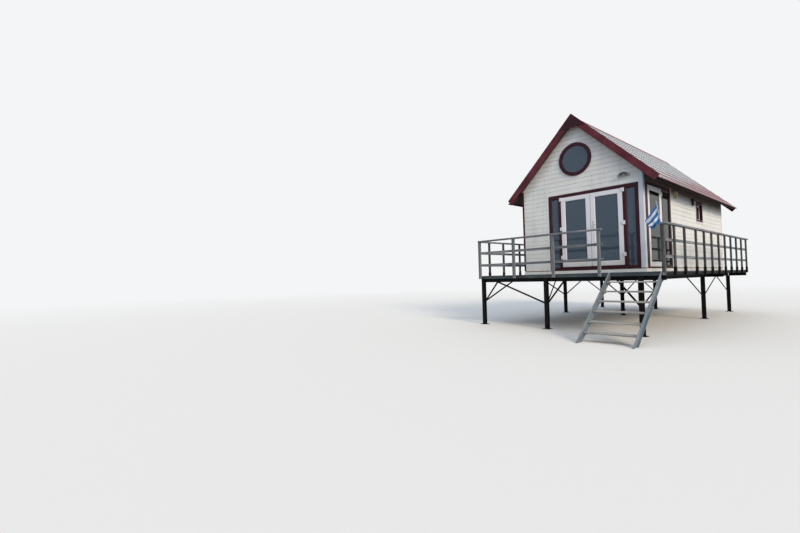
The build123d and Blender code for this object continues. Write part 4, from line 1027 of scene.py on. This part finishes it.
# %% Corner strips
STRIP_W, STRIP_T, STRIP_TOP = 0.050, 0.008, 4.0844
for name, x, y, out_x, out_y, finish_name in (("front_left_strip", LEFT_X, FRONT_Y, -1, -1, "burgundy_paint"),
                                              ("rear_left_strip", LEFT_X, BACK_Y, -1, 1, "cream_boards"),
                                              ("rear_right_strip", RIGHT_X, BACK_Y, 1, 1, "cream_boards")):
    xs, ys = sorted((x + out_x * STRIP_T, x)), sorted((y + out_y * STRIP_T, y - out_y * STRIP_W))
    strip = block(name, (xs[0], ys[0], WALL_FOOT), (xs[1], ys[1], STRIP_TOP))
    score(strip, (0, y, 0), (0, 1, 0))
    draw_out(strip, "FACE", lambda middle, normal: normal.x * out_x < -0.9 and (middle.y - y) * out_y > 0,
             (-out_x * STRIP_W, 0, 0))
    bevel(strip, 0.0015, 1)
    finish_piece(strip, "hut", finish_name, slot="cream_boards",
                 stands_for=("corner_trims",) if name == "front_left_strip" else ())

# %% [markdown]
# Beside the door sets and round the small window, flat cover strips close the ends of the boards. Each
# is a thin block with eased edges, and they share one piece because they are the same batten.

# %% Cover strips
SUNK, PROUD, SILL_PROUD, WINDOW_FOOT, WINDOW_HEAD = 0.01, 0.006, 0.014, 3.07, 3.776
covers = []
for low, high in (((-0.797, FRONT_Y - PROUD, WALL_FOOT), (-0.752, FRONT_Y + SUNK, 3.858)),
                  ((RIGHT_X - SUNK, -0.536, WALL_FOOT), (RIGHT_X + PROUD, -0.456, 3.88)),
                  ((RIGHT_X - SUNK, 1.925, WINDOW_FOOT), (RIGHT_X + PROUD, 1.976, WINDOW_HEAD)),
                  ((RIGHT_X - SUNK, 2.679, WINDOW_FOOT), (RIGHT_X + PROUD, 2.724, WINDOW_HEAD)),
                  ((RIGHT_X - SUNK, 1.976, WINDOW_FOOT), (RIGHT_X + SILL_PROUD, 2.679, 3.112))):
    covers.append(bevel(block("cover", low, high), 0.0015, 1))
finish_piece(join_pieces("cover_strips", covers), "hut", "pale_paint", slot="cream_boards")

# %% [markdown]
# ## Railings
#
# The front railing has square posts bolted to the edge of the platform, two rails behind them and a
# flat cap on top. Where its posts stand and how far its rails reach is read from the CAD model. Every
# member is a bar of timber at its real size.

# %% Front railing
DECK_TOP, CAP_UNDER, RAIL_TOP, POST_FOOT = 1.505, 2.560, 2.605, 1.410
FRONT_EDGE, LEFT_EDGE, RIGHT_EDGE, BACK_EDGE = -3.6305, -2.591, 2.591, 4.9625
POST, RAIL_T, RAIL_H, BALUSTER_T = 0.070, 0.028, 0.070, 0.045
RAIL_HEIGHTS, CAP_OUT, CAP_WEAR = (WALL_FOOT + 0.605, WALL_FOOT + 0.225), 0.0125, 0.006
first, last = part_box("front_railing_posts")
front_posts = [first.x + n * (last.x - POST - first.x) / 3 for n in range(4)]
bars = [timber("post", (x, FRONT_EDGE - POST, POST_FOOT), (x + POST, FRONT_EDGE, CAP_UNDER), 2)
        for x in front_posts]
posts = join_pieces("front_rail_posts", bars)
finish_piece(posts, "hut", "weathered_wood", slot="weathered_wood", stands_for=("front_railing_posts",))

low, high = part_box("front_railing_rails")
bars = [timber("cap", (low.x, low.y, CAP_UNDER), (high.x, FRONT_EDGE + CAP_OUT, RAIL_TOP), 0, CAP_WEAR)]
bars += [timber("rail", (low.x, FRONT_EDGE, z - RAIL_H / 2), (high.x, FRONT_EDGE + RAIL_T, z + RAIL_H / 2), 0)
         for z in RAIL_HEIGHTS]
rails = join_pieces("front_rails", bars)
finish_piece(rails, "hut", "weathered_wood", slot="weathered_wood", stands_for=("front_railing_rails",))

# %% [markdown]
# The side railings are lighter: narrow balusters outside the edge, with the rails on their inner side and
# the cap over both. The first three are spaced unevenly, and from there on they are 0.758 m apart. The
# right railing also has the stair's post and a corner to its cap.

# %% Side railings
BALUSTER_STEP, CAP_OUTER, CAP_INNER = 0.758, 0.056, 0.039
baluster_ys = [FRONT_EDGE - POST / 2 + run for run in (0.580, 1.350, 2.310)]
while baluster_ys[-1] + BALUSTER_STEP < BACK_EDGE - POST / 2:
    baluster_ys.append(baluster_ys[-1] + BALUSTER_STEP)
for side, edge, out in (("left", LEFT_EDGE, -1), ("right", RIGHT_EDGE, 1)):
    ends = sorted((edge, edge + out * BALUSTER_T))
    bars = [timber("baluster", (ends[0], y - POST / 2, POST_FOOT), (ends[1], y + POST / 2, CAP_UNDER), 2)
            for y in baluster_ys]
    if side == "right":
        bars.append(timber("stair_post", (edge - POST, FRONT_EDGE - POST, POST_FOOT),
                           (edge, FRONT_EDGE, CAP_UNDER), 2))
    posts = join_pieces(f"{side}_rail_posts", bars)
    # The balusters take the darker copy of the wood: painted shade.
    finish_piece(posts, "hut", "weathered_wood_painted_shade", slot="weathered_wood", stands_for=(f"{side}_railing_posts",))

    cap = sorted((edge + out * CAP_OUTER, edge - out * CAP_INNER))
    bars = [timber("cap", (cap[0], FRONT_EDGE + CAP_OUT + 0.002, CAP_UNDER), (cap[1], BACK_EDGE, RAIL_TOP), 1,
                   CAP_WEAR)]
    inner = sorted((edge, edge - out * RAIL_T))
    bars += [timber("rail", (inner[0], FRONT_EDGE + RAIL_T, z - RAIL_H / 2),
                    (inner[1], BACK_EDGE, z + RAIL_H / 2), 1) for z in RAIL_HEIGHTS]
    if side == "right":
        bars.append(timber("corner_cap", (edge - POST - CAP_OUT, FRONT_EDGE - POST - CAP_OUT, CAP_UNDER),
                           (edge + CAP_OUTER, FRONT_EDGE + CAP_OUT, RAIL_TOP), 0, CAP_WEAR))
    rails = join_pieces(f"{side}_rails", bars)
    finish_piece(rails, "hut", "weathered_wood", slot="weathered_wood", stands_for=(f"{side}_railing_rails",))

# %% [markdown]
# Each baluster stands in a black steel shoe 0.2 m tall: a channel, open towards the deck, with two bolts.
# A block loses its top, bottom and inner face, and Solidify gives the three faces that are left the
# thickness of the steel.

# %% Steel shoes under the balusters
SHOE_T, SHOE_H, SHOE_BACK, BOLT_R, BOLT_H = 0.005, 0.200, -0.004, 0.011, 0.009
shoe = block("shoe", (SHOE_BACK, -POST / 2 - SHOE_T, POST_FOOT + 0.002),
             (BALUSTER_T + SHOE_T, POST / 2 + SHOE_T, POST_FOOT + SHOE_H))
open_up(shoe, lambda middle, normal: abs(normal.z) > 0.9 or normal.x < -0.9)
apply_modifier(shoe, "SOLIDIFY", thickness=SHOE_T, offset=-1)
bevel(shoe, 0.0015, 1)
for z in (POST_FOOT + 0.05, POST_FOOT + 0.15):
    bolt = bevel(drum("bolt", BOLT_R, BOLT_H, (BALUSTER_T + SHOE_T + 0.0015, 0, z), "X", 6), 0.002, 1)
    shoe = join_pieces("shoe", [shoe, bolt])
for side, edge, turn in (("right", RIGHT_EDGE, 0), ("left", LEFT_EDGE, 180)):
    turned = Matrix.Rotation(radians(turn), 4, "Z")
    shoes = [copy_of(shoe, "shoe_copy", Matrix.Translation((edge, y, 0)) @ turned) for y in baluster_ys]
    finish_piece(join_pieces(f"{side}_shoes", shoes), "hut", "black_steel", slot="black_steel")
bpy.data.objects.remove(shoe)

# %% [markdown]
# ## Decking
#
# The deck is boards 140 mm wide with gaps of 6 mm that let sand and rain through, all running front to
# back over the joists. In front of the hut a board is one length, and beside it boards meet end to end.

# %% Deck boards
GAP, END_GAP, DECK_T, DOOR_LINE, BESIDE_RIGHT, BESIDE_LEFT = 0.006, 0.002, 0.028, -2.6125, 1.849, -1.641


def boards_over(name, x0, x1, count, lengths, top=DECK_TOP, thick=DECK_T):
    """Boards side by side from x0 to x1, each in the given lengths along Y."""
    bars, pitch = [], (x1 - x0) / count
    for n in range(count):
        ends = lengths[n % len(lengths)]
        for y0, y1 in zip(ends, ends[1:]):
            bars.append(timber("board", (x0 + n * pitch + GAP / 2, y0 + END_GAP / 2, top - thick),
                               (x0 + (n + 1) * pitch - GAP / 2, y1 - END_GAP / 2, top), 1, 0.003))
    return join_pieces(name, bars)


front = boards_over("front_deck_boards", LEFT_EDGE, RIGHT_EDGE, 35, [(FRONT_EDGE, DOOR_LINE)])
# The deck boards take the darker copy of the wood: painted shade for their shaded edges.
finish_piece(front, "hut", "weathered_wood_painted_shade", slot="weathered_wood", stands_for=("front_deck",))
runs = [(DOOR_LINE, *joints, BACK_EDGE) for joints in ((0.95,), (-0.85, 3.35), (2.15,))]
beside = join_pieces("side_deck_boards", [boards_over("right", BESIDE_RIGHT, RIGHT_EDGE, 5, runs),
                                          boards_over("left", LEFT_EDGE, BESIDE_LEFT, 7, runs)])
finish_piece(beside, "hut", "weathered_wood_painted_shade", slot="weathered_wood", stands_for=("side_decks",))

# %% [markdown]
# ## Stair treads
#
# The stair has open treads of pale, sand-scoured planks. Two planks side by side make one tread, and a
# steel cleat at each end, bolted to the stringer, carries it.

# %% Treads and cleats
STAIR_LEFT, STAIR_RIGHT, GOING, RISER, TREAD_T = 1.377, 2.477, 0.260, 0.215, 0.032
CLEAT_W, CLEAT_H, CLEAT_T = 0.040, 0.036, 0.004
planks, cleats = [], []
for n in range(1, 7):
    top, back = DECK_TOP - n * RISER, FRONT_EDGE - (n - 1) * GOING
    for y0, y1 in ((back - 0.230, back - 0.118), (back - 0.112, back)):
        planks.append(timber("plank", (STAIR_LEFT + 0.001, y0, top - TREAD_T),
                             (STAIR_RIGHT - 0.001, y1, top), 0))
    for x, out in ((STAIR_LEFT, 1), (STAIR_RIGHT, -1)):
        ends = sorted((x + out * 0.001, x + out * CLEAT_W))
        cleat = block("cleat", (ends[0], back - 0.21, top - TREAD_T - CLEAT_H),
                      (ends[1], back - 0.02, top - TREAD_T - 0.001))
        open_up(cleat, lambda middle, normal: normal.x * out > 0.9 or normal.z < -0.9 or abs(normal.y) > 0.9)
        cleats.append(apply_modifier(cleat, "SOLIDIFY", thickness=CLEAT_T, offset=-1))
finish_piece(join_pieces("treads", planks), "hut", "pale_wood", slot="weathered_wood",
             stands_for=("stair_treads",))
finish_piece(join_pieces("tread_cleats", cleats), "hut", "galvanised_steel", slot="galvanised_steel")

# %% [markdown]
# ## Floor
#
# Inside, varnished floor boards 118 mm wide run front to back on a plywood deck. They show through the
# glass and when a door stands open. The same function lays them, on a slab that is a little narrower.

# %% Floor boards
low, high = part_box("floor")
FLOOR_T, INSET = 0.022, 0.002
planks = boards_over("planks", low.x, high.x, 29, [(low.y, high.y)], top=high.z, thick=FLOOR_T)
slab = timber("slab", (low.x + INSET, low.y + INSET, low.z),
              (high.x - INSET, high.y - INSET, high.z - FLOOR_T - 0.0005), 1, 0.002)
finish_piece(join_pieces("floor_planks", [planks, slab]), "hut", "floor_wood", slot="floor_wood",
             stands_for=("floor",))

# %% [markdown]
# ## End plates
#
# A steel plate is welded over each end of the three long beams, so that no water stands in them. Each is
# a thin block with its edges rounded. The middle beam is the longest, and all three rear plates stand at
# its end. For the outer beams, which end 0.313 m before it, that is a mistake: their plates hang free
# there, and belong at Y 4.9625.

# %% End plates of the long beams
BEAM_XS, BEAM_HALF, BEAM_FOOT, BEAM_TOP = (-2.511, -0.381, 2.029), 0.050, 1.306, 1.409
BEAM_FRONT, MIDDLE_BEAM_BACK, END_PLATE = -3.6005, 5.2755, 0.006
ends = []
for x in BEAM_XS:
    for y0 in (BEAM_FRONT - END_PLATE, MIDDLE_BEAM_BACK):
        plate = block("plate", (x - BEAM_HALF, y0, BEAM_FOOT), (x + BEAM_HALF, y0 + END_PLATE, BEAM_TOP))
        ends.append(bevel(plate, 0.0015, 1))
finish_piece(join_pieces("beam_end_plates", ends), "hut", "black_steel", slot="black_steel")

# %% [markdown]
# ## Bolts
#
# Coach bolts hold the posts of the front railing and the stair's stringers to the platform's edge. One
# hex bolt with its washer is modelled: a six-sided drum whose upper edge is beveled, on a thin disc.
# Copies of it are turned to face outwards at each joint. The four at the stringers stand level with the
# edges of the channels, which is a mistake: the webs that they belong on lie 34 mm further in.

# %% Bolts
washer = drum("washer", 0.015, 0.0025, (0, 0, 0.00125), sides=20)
bevel(washer, 0.0006, 1, lambda middle, along: middle.z > 0.002)
head = drum("head", 0.0105, 0.007, (0, 0, 0.006), sides=6)
bevel(head, 0.0015, 1, lambda middle, along: middle.z > 0.009)
bolt = join_pieces("bolt", [washer, head])
STRINGER_SIDES, STRINGER_HEAD = ((1.337, -1), (2.517, 1)), 1.36
places = [((x + POST / 2, FRONT_EDGE - POST, z), (0, -1, 0))
          for x in (*front_posts, RIGHT_EDGE - POST) for z in (1.432, 1.462)]
for x, out in STRINGER_SIDES:
    places += [((x, FRONT_EDGE - run, STRINGER_HEAD - run * RISER / GOING), (out, 0, 0))
               for run in (0.10, 0.17)]
bolts = []
for place, axis in places:
    turned = Vector(axis).to_track_quat("Z", "Y").to_matrix().to_4x4()
    bolts.append(copy_of(bolt, "bolt_copy", Matrix.Translation(place) @ turned))
bpy.data.objects.remove(bolt)
finish_piece(join_pieces("platform_bolts", bolts), "hut", "galvanised_steel", slot="galvanised_steel")
print("bolts:", len(places))

# %% [markdown]
# ## Round window
#
# The round window is a turned wooden ring, a flat rim on the wall with a sleeve through it, and its pane
# sits close behind the rim. A ring is a drum with a smaller drum cut out of it, and beveled edges keep
# it from looking stamped. One helper makes rim, sleeve and gasket.

# %% Ring, sleeve, gasket and round pane
RIM_R, SIGHT_R, SLEEVE_R, PANE_T = 0.470, 0.380, 0.399, 0.024
RIM_FRONT, SLEEVE_BACK, GASKET_FRONT, PANE_FRONT = -2.6375, -2.4785, -2.6195, -2.6135


def hoop(name, outer, inner, front, back, edge):
    """A flat ring in the gable, from its outer and inner radius and its front and back."""
    place = (CROWN_X, (front + back) / 2, ROUND_Z)
    ring = drum(name, outer, back - front, place, "Y", 96)
    cut(ring, drum("core", inner, back - front + 0.1, place, "Y", 96))
    return done(bevel(ring, edge, 2, lambda middle, along: abs(along.y) < 0.5), smooth=35)


rim = hoop("rim", RIM_R, SIGHT_R, RIM_FRONT, FRONT_Y, 0.006)
sleeve = hoop("sleeve", SLEEVE_R, SIGHT_R, FRONT_Y, SLEEVE_BACK, 0.002)
finish_piece(join_pieces("round_window_ring", [rim, sleeve]), "hut", "burgundy_paint", slot="burgundy_paint",
             stands_for=("round_window_frame",))
finish_piece(hoop("round_window_gasket", SIGHT_R, SIGHT_R - 0.008, GASKET_FRONT, PANE_FRONT, 0.0015), "hut",
             "gasket_rubber", slot="lamp_black")
pane = drum("round_pane", SIGHT_R, PANE_T, (CROWN_X, PANE_FRONT + PANE_T / 2, ROUND_Z), "Y", 96)
bevel(pane, 0.0015, 1, lambda middle, along: abs(along.y) < 0.5)
finish_piece(pane, "hut", "pane_glass", slot="pane_glass", stands_for=("window_glass",))

# %% [markdown]
# ## Fixed panes and their gaskets
#
# The sidelights beside the doors and the small window have sealed panes with ground edges: a block with
# its edges beveled.

# %% Sealed panes
FRONT_PANE_Y, SIDE_PANE_X, WINDOW_PANE_X, LIGHT_FOOT = -2.5845, 1.821, 1.774, 1.673
panes = [bevel(block("pane", (x0, FRONT_PANE_Y, LIGHT_FOOT), (x1, FRONT_PANE_Y + PANE_T, 3.713)), 0.0015, 1)
         for x0, x1 in ((-0.673, -0.444), (1.422, 1.651))]
finish_piece(join_pieces("front_sidelight_panes", panes), "hut", "pane_glass", slot="pane_glass",
             stands_for=("sidelight_glass",))
side_panes = [bevel(block("pane", low, high), 0.0015, 1) for low, high in (
    ((SIDE_PANE_X - PANE_T, -1.2295, LIGHT_FOOT), (SIDE_PANE_X, -0.6305, 3.737)),
    ((WINDOW_PANE_X - 0.020, 2.0705, 3.206), (WINDOW_PANE_X, 2.5845, 3.640)))]
finish_piece(join_pieces("side_sealed_panes", side_panes), "hut", "side_pane_glass", slot="pane_glass")

# %% [markdown]
# In front of every pane lies a black rubber gasket, 7 mm wide, which draws the thin dark line between
# frame and glass. It is a thin block with its middle cut out. Gaskets in the door leaves ride on them.

# %% Gaskets
GASKET_W, GASKET_T = 0.007, 0.004
LEAF_FRONT, LEAF_SIDE, LEAF_SIGHT, LIGHT_SIGHT = -2.5955, 1.832, (1.829, 3.597), (1.685, 3.701)


def gasket(low, high, face):
    """A strip round what is seen of a pane. It lies in the plane across axis face, 0 for X or 1 for Y."""
    strip = block("gasket", low, high)
    inner_low, inner_high = Vector(low), Vector(high)
    for axis, margin in ((face, -0.01), (1 - face, GASKET_W), (2, GASKET_W)):
        inner_low[axis] += margin
        inner_high[axis] -= margin
    return bevel(cut(strip, block("middle", inner_low, inner_high)), 0.001, 1)


def front_gasket(x0, x1, z0, z1, glass_y):
    """A gasket on a pane that faces the front."""
    return gasket((x0, glass_y - GASKET_T, z0), (x1, glass_y, z1), 1)


def side_gasket(y0, y1, z0, z1, glass_x):
    """A gasket on a pane that faces right."""
    return gasket((glass_x, y0, z0), (glass_x + GASKET_T, y1, z1), 0)


for name, body, strips in (
        ("left_leaf_gasket", "front_door_left", [front_gasket(-0.232, 0.355, *LEAF_SIGHT, LEAF_FRONT)]),
        ("right_leaf_gasket", "front_door_right", [front_gasket(0.623, 1.210, *LEAF_SIGHT, LEAF_FRONT)]),
        ("side_leaf_gasket", "side_door", [side_gasket(-2.1945, -1.4255, 1.764, 3.636, LEAF_SIDE)]),
        ("frame_gaskets", "hut", [front_gasket(-0.661, -0.456, *LIGHT_SIGHT, FRONT_PANE_Y),
                                  front_gasket(1.434, 1.639, *LIGHT_SIGHT, FRONT_PANE_Y),
                                  side_gasket(-1.2175, -0.6425, 1.685, 3.725, SIDE_PANE_X),
                                  side_gasket(2.0825, 2.5725, 3.218, 3.628, WINDOW_PANE_X)])):
    finish_piece(join_pieces(name, strips), body, "gasket_rubber", slot="lamp_black")

# %% [markdown]
# ## Hinge covers
#
# Each leaf hangs on three hinges, and white plastic caps are clipped over both flaps of each, beside the
# pin. From the beach they read as small white blocks on the burgundy frame. One cap is modelled, with
# rounded edges and a shallow recess, and copied to its eighteen places: half of them ride on the leaves.

# %% Caps over the hinge flaps
COVER_W, COVER_OUT, COVER_H, HINGE_H, PIN_GAP = 0.034, 0.012, 0.104, 0.094, 0.012
HINGE_RISES, FRONT_FRAME_Y, SIDE_FRAME_X = (0.230, 1.060, 1.925), -2.6125, 1.849
cap = block("cap", (-COVER_W / 2, -COVER_OUT, 0), (COVER_W / 2, 0, COVER_H))
bevel(cap, 0.0045, 3, lambda middle, along: middle.y < -0.001)
outer_face = lambda middle, normal: (normal.y < -0.99 and abs(middle.x) < 0.001
                                     and middle.y < 0.0001 - COVER_OUT)
recess(cap, outer_face, 0.004, (0, 0.001, 0))
done(cap, smooth=35)
for leaf, pin, foot, lies, leaf_side in (("front_door_left", -0.363, 1.704, "front", 1),
                                         ("front_door_right", 1.341, 1.704, "front", -1),
                                         ("side_door", -1.2945, 1.639, "side", -1)):
    for body, toward in ((leaf, leaf_side), ("hut", -leaf_side)):
        caps = []
        for rise in HINGE_RISES:
            spot = pin + toward * (PIN_GAP + COVER_W / 2)
            z = foot + rise - (COVER_H - HINGE_H) / 2
            if lies == "front":
                at = Matrix.Translation((spot, FRONT_FRAME_Y, z))
            else:
                at = Matrix.Translation((SIDE_FRAME_X, spot, z)) @ Matrix.Rotation(pi / 2, 4, "Z")
            caps.append(copy_of(cap, "cap_copy", at))
        name = f"{leaf}_caps_{'frame' if body == 'hut' else 'leaf'}"
        finish_piece(join_pieces(name, caps), body, "white_pvc", slot="white_pvc")
bpy.data.objects.remove(cap)

# %% [markdown]
# ## Gable lamp
#
# A half-moon lamp hangs over the doors: a pale cast rim round a dark glass, flat side down, with one
# round bulb showing through. The smoked glass is dark and glossy, with a haze of salt that dulls it in
# places.

# %% Smoked glass
smoked, place = new_finish("smoked_glass")
haze = add(smoked, "TexNoise", {"Vector": place, "Scale": 30.0, "Detail": 3.0})
gloss = add(smoked, "MapRange", {"Value": haze, "To Min": 0.05, "To Max": 0.3})
tint = add(smoked, "Mix", {0: haze, 6: "#23272b", 7: "#3a4046"}, out=2, data_type="RGBA")
shader = add(smoked, "BsdfPrincipled", {"Base Color": tint, "Roughness": gloss})
add(smoked, "OutputMaterial", {"Surface": shader})

# %% [markdown]
# A drum is sawn in half, its face is inset to leave the rim, and the middle is pushed back twice, so the
# rim keeps a step. The whole is then pressed down to a flatter bow, as the real one has. The bulb is a
# ball pressed flat.

# %% Half-moon lamp and its bulb
low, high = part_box("gable_light")
lamp_x, lamp_r = (low.x + high.x) / 2, (high.x - low.x) / 2
RIM_STEPS, GLASS_BACK, BOW = ((0.014, 0.012), (0.006, 0.030)), 0.030, 0.70
LAMP_LIFT, BULB_R, BULB_BACK, BULB_RISE = 0.018, 0.028, 0.046, 0.058
moon = drum("gable_lamp", lamp_r, high.y - low.y, (lamp_x, (low.y + high.y) / 2, low.z), "Y", 48)
saw(moon, (0, 0, low.z), (0, 0, -1))
bevel(moon, 0.007, 3, lambda middle, along: abs(middle.y - low.y) < 0.001)
middle_face = lambda middle, normal: normal.y < -0.9 and abs(middle.x - lamp_x) < 0.03
for border, push in RIM_STEPS:
    recess(moon, middle_face, border, (0, push, 0))
done(moon, smooth=35)
flatten = Matrix.Diagonal((1, 1, BOW, 1)) @ Matrix.Translation((0, 0, -low.z))
place_by(moon, Matrix.Translation((0, 0, low.z + LAMP_LIFT)) @ flatten)
moon.data.materials.append(finishes["lamp_white"])
moon.data.materials.append(finishes["smoked_glass"])
for face in moon.data.polygons:
    face.material_index = 1 if face.normal.y < -0.9 and face.center.y > low.y + GLASS_BACK else 0
finish_piece(moon, "hut", slot="lamp_white", stands_for=("gable_light",))

bpy.ops.object.select_all(action="DESELECT")
bpy.ops.mesh.primitive_uv_sphere_add(segments=24, ring_count=12, radius=BULB_R,
                                     location=(lamp_x, low.y + BULB_BACK, low.z + BULB_RISE))
bulb = bpy.context.object
bulb.scale = (1, 0.75, 1)
bpy.ops.object.transform_apply()
bevel(bulb, 0.002, 2, lambda middle, along: abs(middle.y - (low.y + BULB_BACK)) < 0.001)
done(bulb, smooth=60)
bulb.name = "gable_lamp_bulb"
finish_piece(bulb, "hut", "lamp_white", slot="lamp_white")

# %% [markdown]
# ## Fan hood
#
# The fan's outlet has a hood of white plastic, tinted pale yellow as painted shade for the warm shade
# under the eaves. Its lid slopes so that rain runs off, and five slats close its face. The box is
# beveled along its upper front edge for the lid. Its face is inset and pushed in, and one slat, tilted
# like a roof tile, is repeated down the recess.

# %% Hood with slats
low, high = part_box("vent_hood")
hood = block("fan_hood", low, high)
LID, THROAT, BORDER, SLAT_STEP, SLAT_DROP = 0.030, 0.06, 0.010, 0.027, 0.010
on_face = lambda middle: middle.x > high.x - 0.001
bevel(hood, LID, 1,
      lambda middle, along: abs(along.y) > 0.9 and on_face(middle) and middle.z > high.z - 0.001)
recess(hood, lambda middle, normal: normal.z < -0.9, 0.006, (0, 0, THROAT))
recess(hood, lambda middle, normal: normal.x > 0.99, BORDER, (-0.012, 0, 0))
bevel(hood, 0.002, 2, lambda middle, along: (middle.x > high.x - LID - 0.001 and middle.z > low.z + 0.07
                                             or abs(along.y) < 0.1 and on_face(middle)))
slat = block("slat", (high.x - 0.013, low.y + BORDER + 0.001, low.z + 0.012),
             (high.x - 0.002, high.y - BORDER - 0.001, low.z + 0.018))
shift(slat, "FACE", lambda middle, normal: normal.x > 0.9, (0, 0, -SLAT_DROP))
slats = bevel(repeat(slat, 5, (0, 0, SLAT_STEP)), 0.001, 1)
finish_piece(join_pieces("fan_hood", [hood, slats]), "hut", "hood_plastic_painted_shade", slot="lamp_white",
             stands_for=("vent_hood",))

# %% [markdown]
# ## Side lamp
#
# Beside the small window a black can lamp hangs on a short arm, and its cable runs in a black conduit
# along the wall to the window's head. The can is a drum whose lower end is inset and pushed up, so that
# one looks into it from below. Its wall plate is a lying drum, and the arm between them a thinner one.

# %% Can lamp
low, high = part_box("side_lamp")
PLATE_OUT, ARM_R, ARM_LENGTH, CAN_WALL, CAN_DEPTH = 0.018, 0.009, 0.030, 0.004, 0.055
can_r, can_y = (high.y - low.y) / 2, (low.y + high.y) / 2
can_x, arm_z = high.x - can_r, high.z - can_r / 2

can = drum("can", can_r, high.z - low.z, (can_x, can_y, (low.z + high.z) / 2))
bevel(can, 0.006, 3, lambda middle, along: middle.z > high.z - 0.001)
recess(can, lambda middle, normal: normal.z < -0.9, CAN_WALL, (0, 0, CAN_DEPTH))
pick(can, "EDGE", lambda middle, along: abs(along.z) > 0.9)
bpy.ops.mesh.subdivide(number_cuts=1)
done(can, smooth=40)
plate = drum("plate", can_r, PLATE_OUT, (low.x + PLATE_OUT / 2, can_y, arm_z), "X")
bevel(plate, 0.005, 2, lambda middle, along: middle.x > low.x + PLATE_OUT - 0.001)
done(plate, smooth=40)
arm = drum("arm", ARM_R, ARM_LENGTH, (low.x + PLATE_OUT + 0.014, can_y, arm_z), "X", 16)
bevel(arm, 0.001, 1)
finish_piece(join_pieces("can_lamp", [can, plate, arm]), "hut", "lamp_black", slot="lamp_black",
             stands_for=("side_lamp",))

# %% [markdown]
# The conduit is a thin lying drum from the can to the window's head, held to the wall by two clips.

# %% Conduit and clips
CONDUIT_R, CONDUIT_END, CLIP_HALF, CLIP_RISE, CLIP_OUT = 0.010, 1.955, 0.012, 0.016, 0.023
conduit_start = can_y + can_r
conduit = drum("conduit", CONDUIT_R, CONDUIT_END - conduit_start,
               (RIGHT_X + CONDUIT_R + 0.001, (conduit_start + CONDUIT_END) / 2, arm_z), "Y", 12)
pick(conduit, "EDGE", lambda middle, along: abs(along.y) > 0.9)
bpy.ops.mesh.subdivide(number_cuts=3)
done(conduit, smooth=40)
clips = [bevel(block("clip", (RIGHT_X, y - CLIP_HALF, arm_z - CLIP_RISE),
                     (RIGHT_X + CLIP_OUT, y + CLIP_HALF, arm_z + CLIP_RISE)), 0.004, 2) for y in (1.55, 1.84)]
finish_piece(join_pieces("lamp_conduit", [conduit, *clips]), "hut", "lamp_black", slot="lamp_black")

# %% [markdown]
# ## Drip board over the small window
#
# A small weathered board with a sloped top keeps the rain off the window's head. Its burgundy is
# darkened almost to black: painted shade for the shade of the eaves.

# %% Drip board
DRIP_OUT, DRIP_TOP, DRIP_FALL = 0.034, 3.778, 0.014
drip = block("drip_board", (RIGHT_X, 1.965, 3.735), (RIGHT_X + DRIP_OUT, 2.690, DRIP_TOP))
outer_edge = lambda middle, along: (abs(along.y) > 0.9 and middle.x > RIGHT_X + DRIP_OUT - 0.004
                                    and middle.z > DRIP_TOP - 0.008)
shift(drip, "EDGE", outer_edge, (0, 0, -DRIP_FALL))
bevel(drip, 0.003, 2)
finish_piece(drip, "hut", "burgundy_painted_shade", slot="burgundy_paint")

# %% [markdown]
# ## Flag
#
# A small flag hangs from a thin pole at the corner of the railing. It is one sheet of woven polyester,
# 0.39 m along the pole and 0.36 m long, and it hangs down to the left. Its upper edge is almost
# straight, and towards its free end it gathers in two soft folds that run the way the stripes do. A
# grid is subdivided and its points are moved one by one: a cloth simulation would find its own fall, and
# this flag has the one that the picture shows. The stripes read the sheet's own UV map, in metres of
# flat cloth, so that they follow every fold.

# %% The cloth
HOIST_LOW, HOIST_HIGH = Vector((2.507, -3.6655, 2.626)), Vector((2.448, -3.6655, 3.012))
FREE_LOW, FREE_HIGH = Vector((2.325, -3.6655, 2.462)), Vector((2.200, -3.6655, 2.680))
HOIST, FLY, FOLDS, FIRST_FOLD = 0.39, 0.36, 2.0, 0.6
SAG_HEAD, SAG_FOOT, FOLD_DEPTH, SWAG_DEPTH = 0.016, 0.030, 0.045, 0.014
bpy.ops.object.select_all(action="DESELECT")
bpy.ops.mesh.primitive_grid_add(x_subdivisions=48, y_subdivisions=40, size=1, location=(0.5, 0.5, 0))
bpy.ops.object.transform_apply()
cloth_piece = bpy.context.object
cloth_piece.name = "flag_sheet"
flat_map = cloth_piece.data.uv_layers.new(name="cloth")
for corner in cloth_piece.data.loops:
    point = cloth_piece.data.vertices[corner.vertex_index].co
    flat_map.data[corner.index].uv = (point.x * FLY, point.y * HOIST)
for point in cloth_piece.data.vertices:
    along, up = point.co.x, point.co.y
    hoist_side, free_side = HOIST_LOW.lerp(HOIST_HIGH, up), FREE_LOW.lerp(FREE_HIGH, up)
    sag = sin(pi * along) * (SAG_HEAD * up + SAG_FOOT * (1 - up))
    depth = FOLD_DEPTH * along ** 1.3
    swag = SWAG_DEPTH * (1 - up) * min(1.0, along * 5)
    spot = hoist_side.lerp(free_side, along)
    spot.z -= sag
    spot.y += depth * sin(2 * pi * FOLDS * up + FIRST_FOLD) + swag * sin(4 * pi * along)
    point.co = spot
apply_modifier(cloth_piece, "SUBSURF", levels=1, render_levels=1)
done(cloth_piece, smooth=80)
finish_piece(cloth_piece, "hut", "flag_cloth", slot="flag_cloth", stands_for=("flag",))
print("flag area", round(sum(face.area for face in cloth_piece.data.polygons), 3), "of", HOIST * FLY)
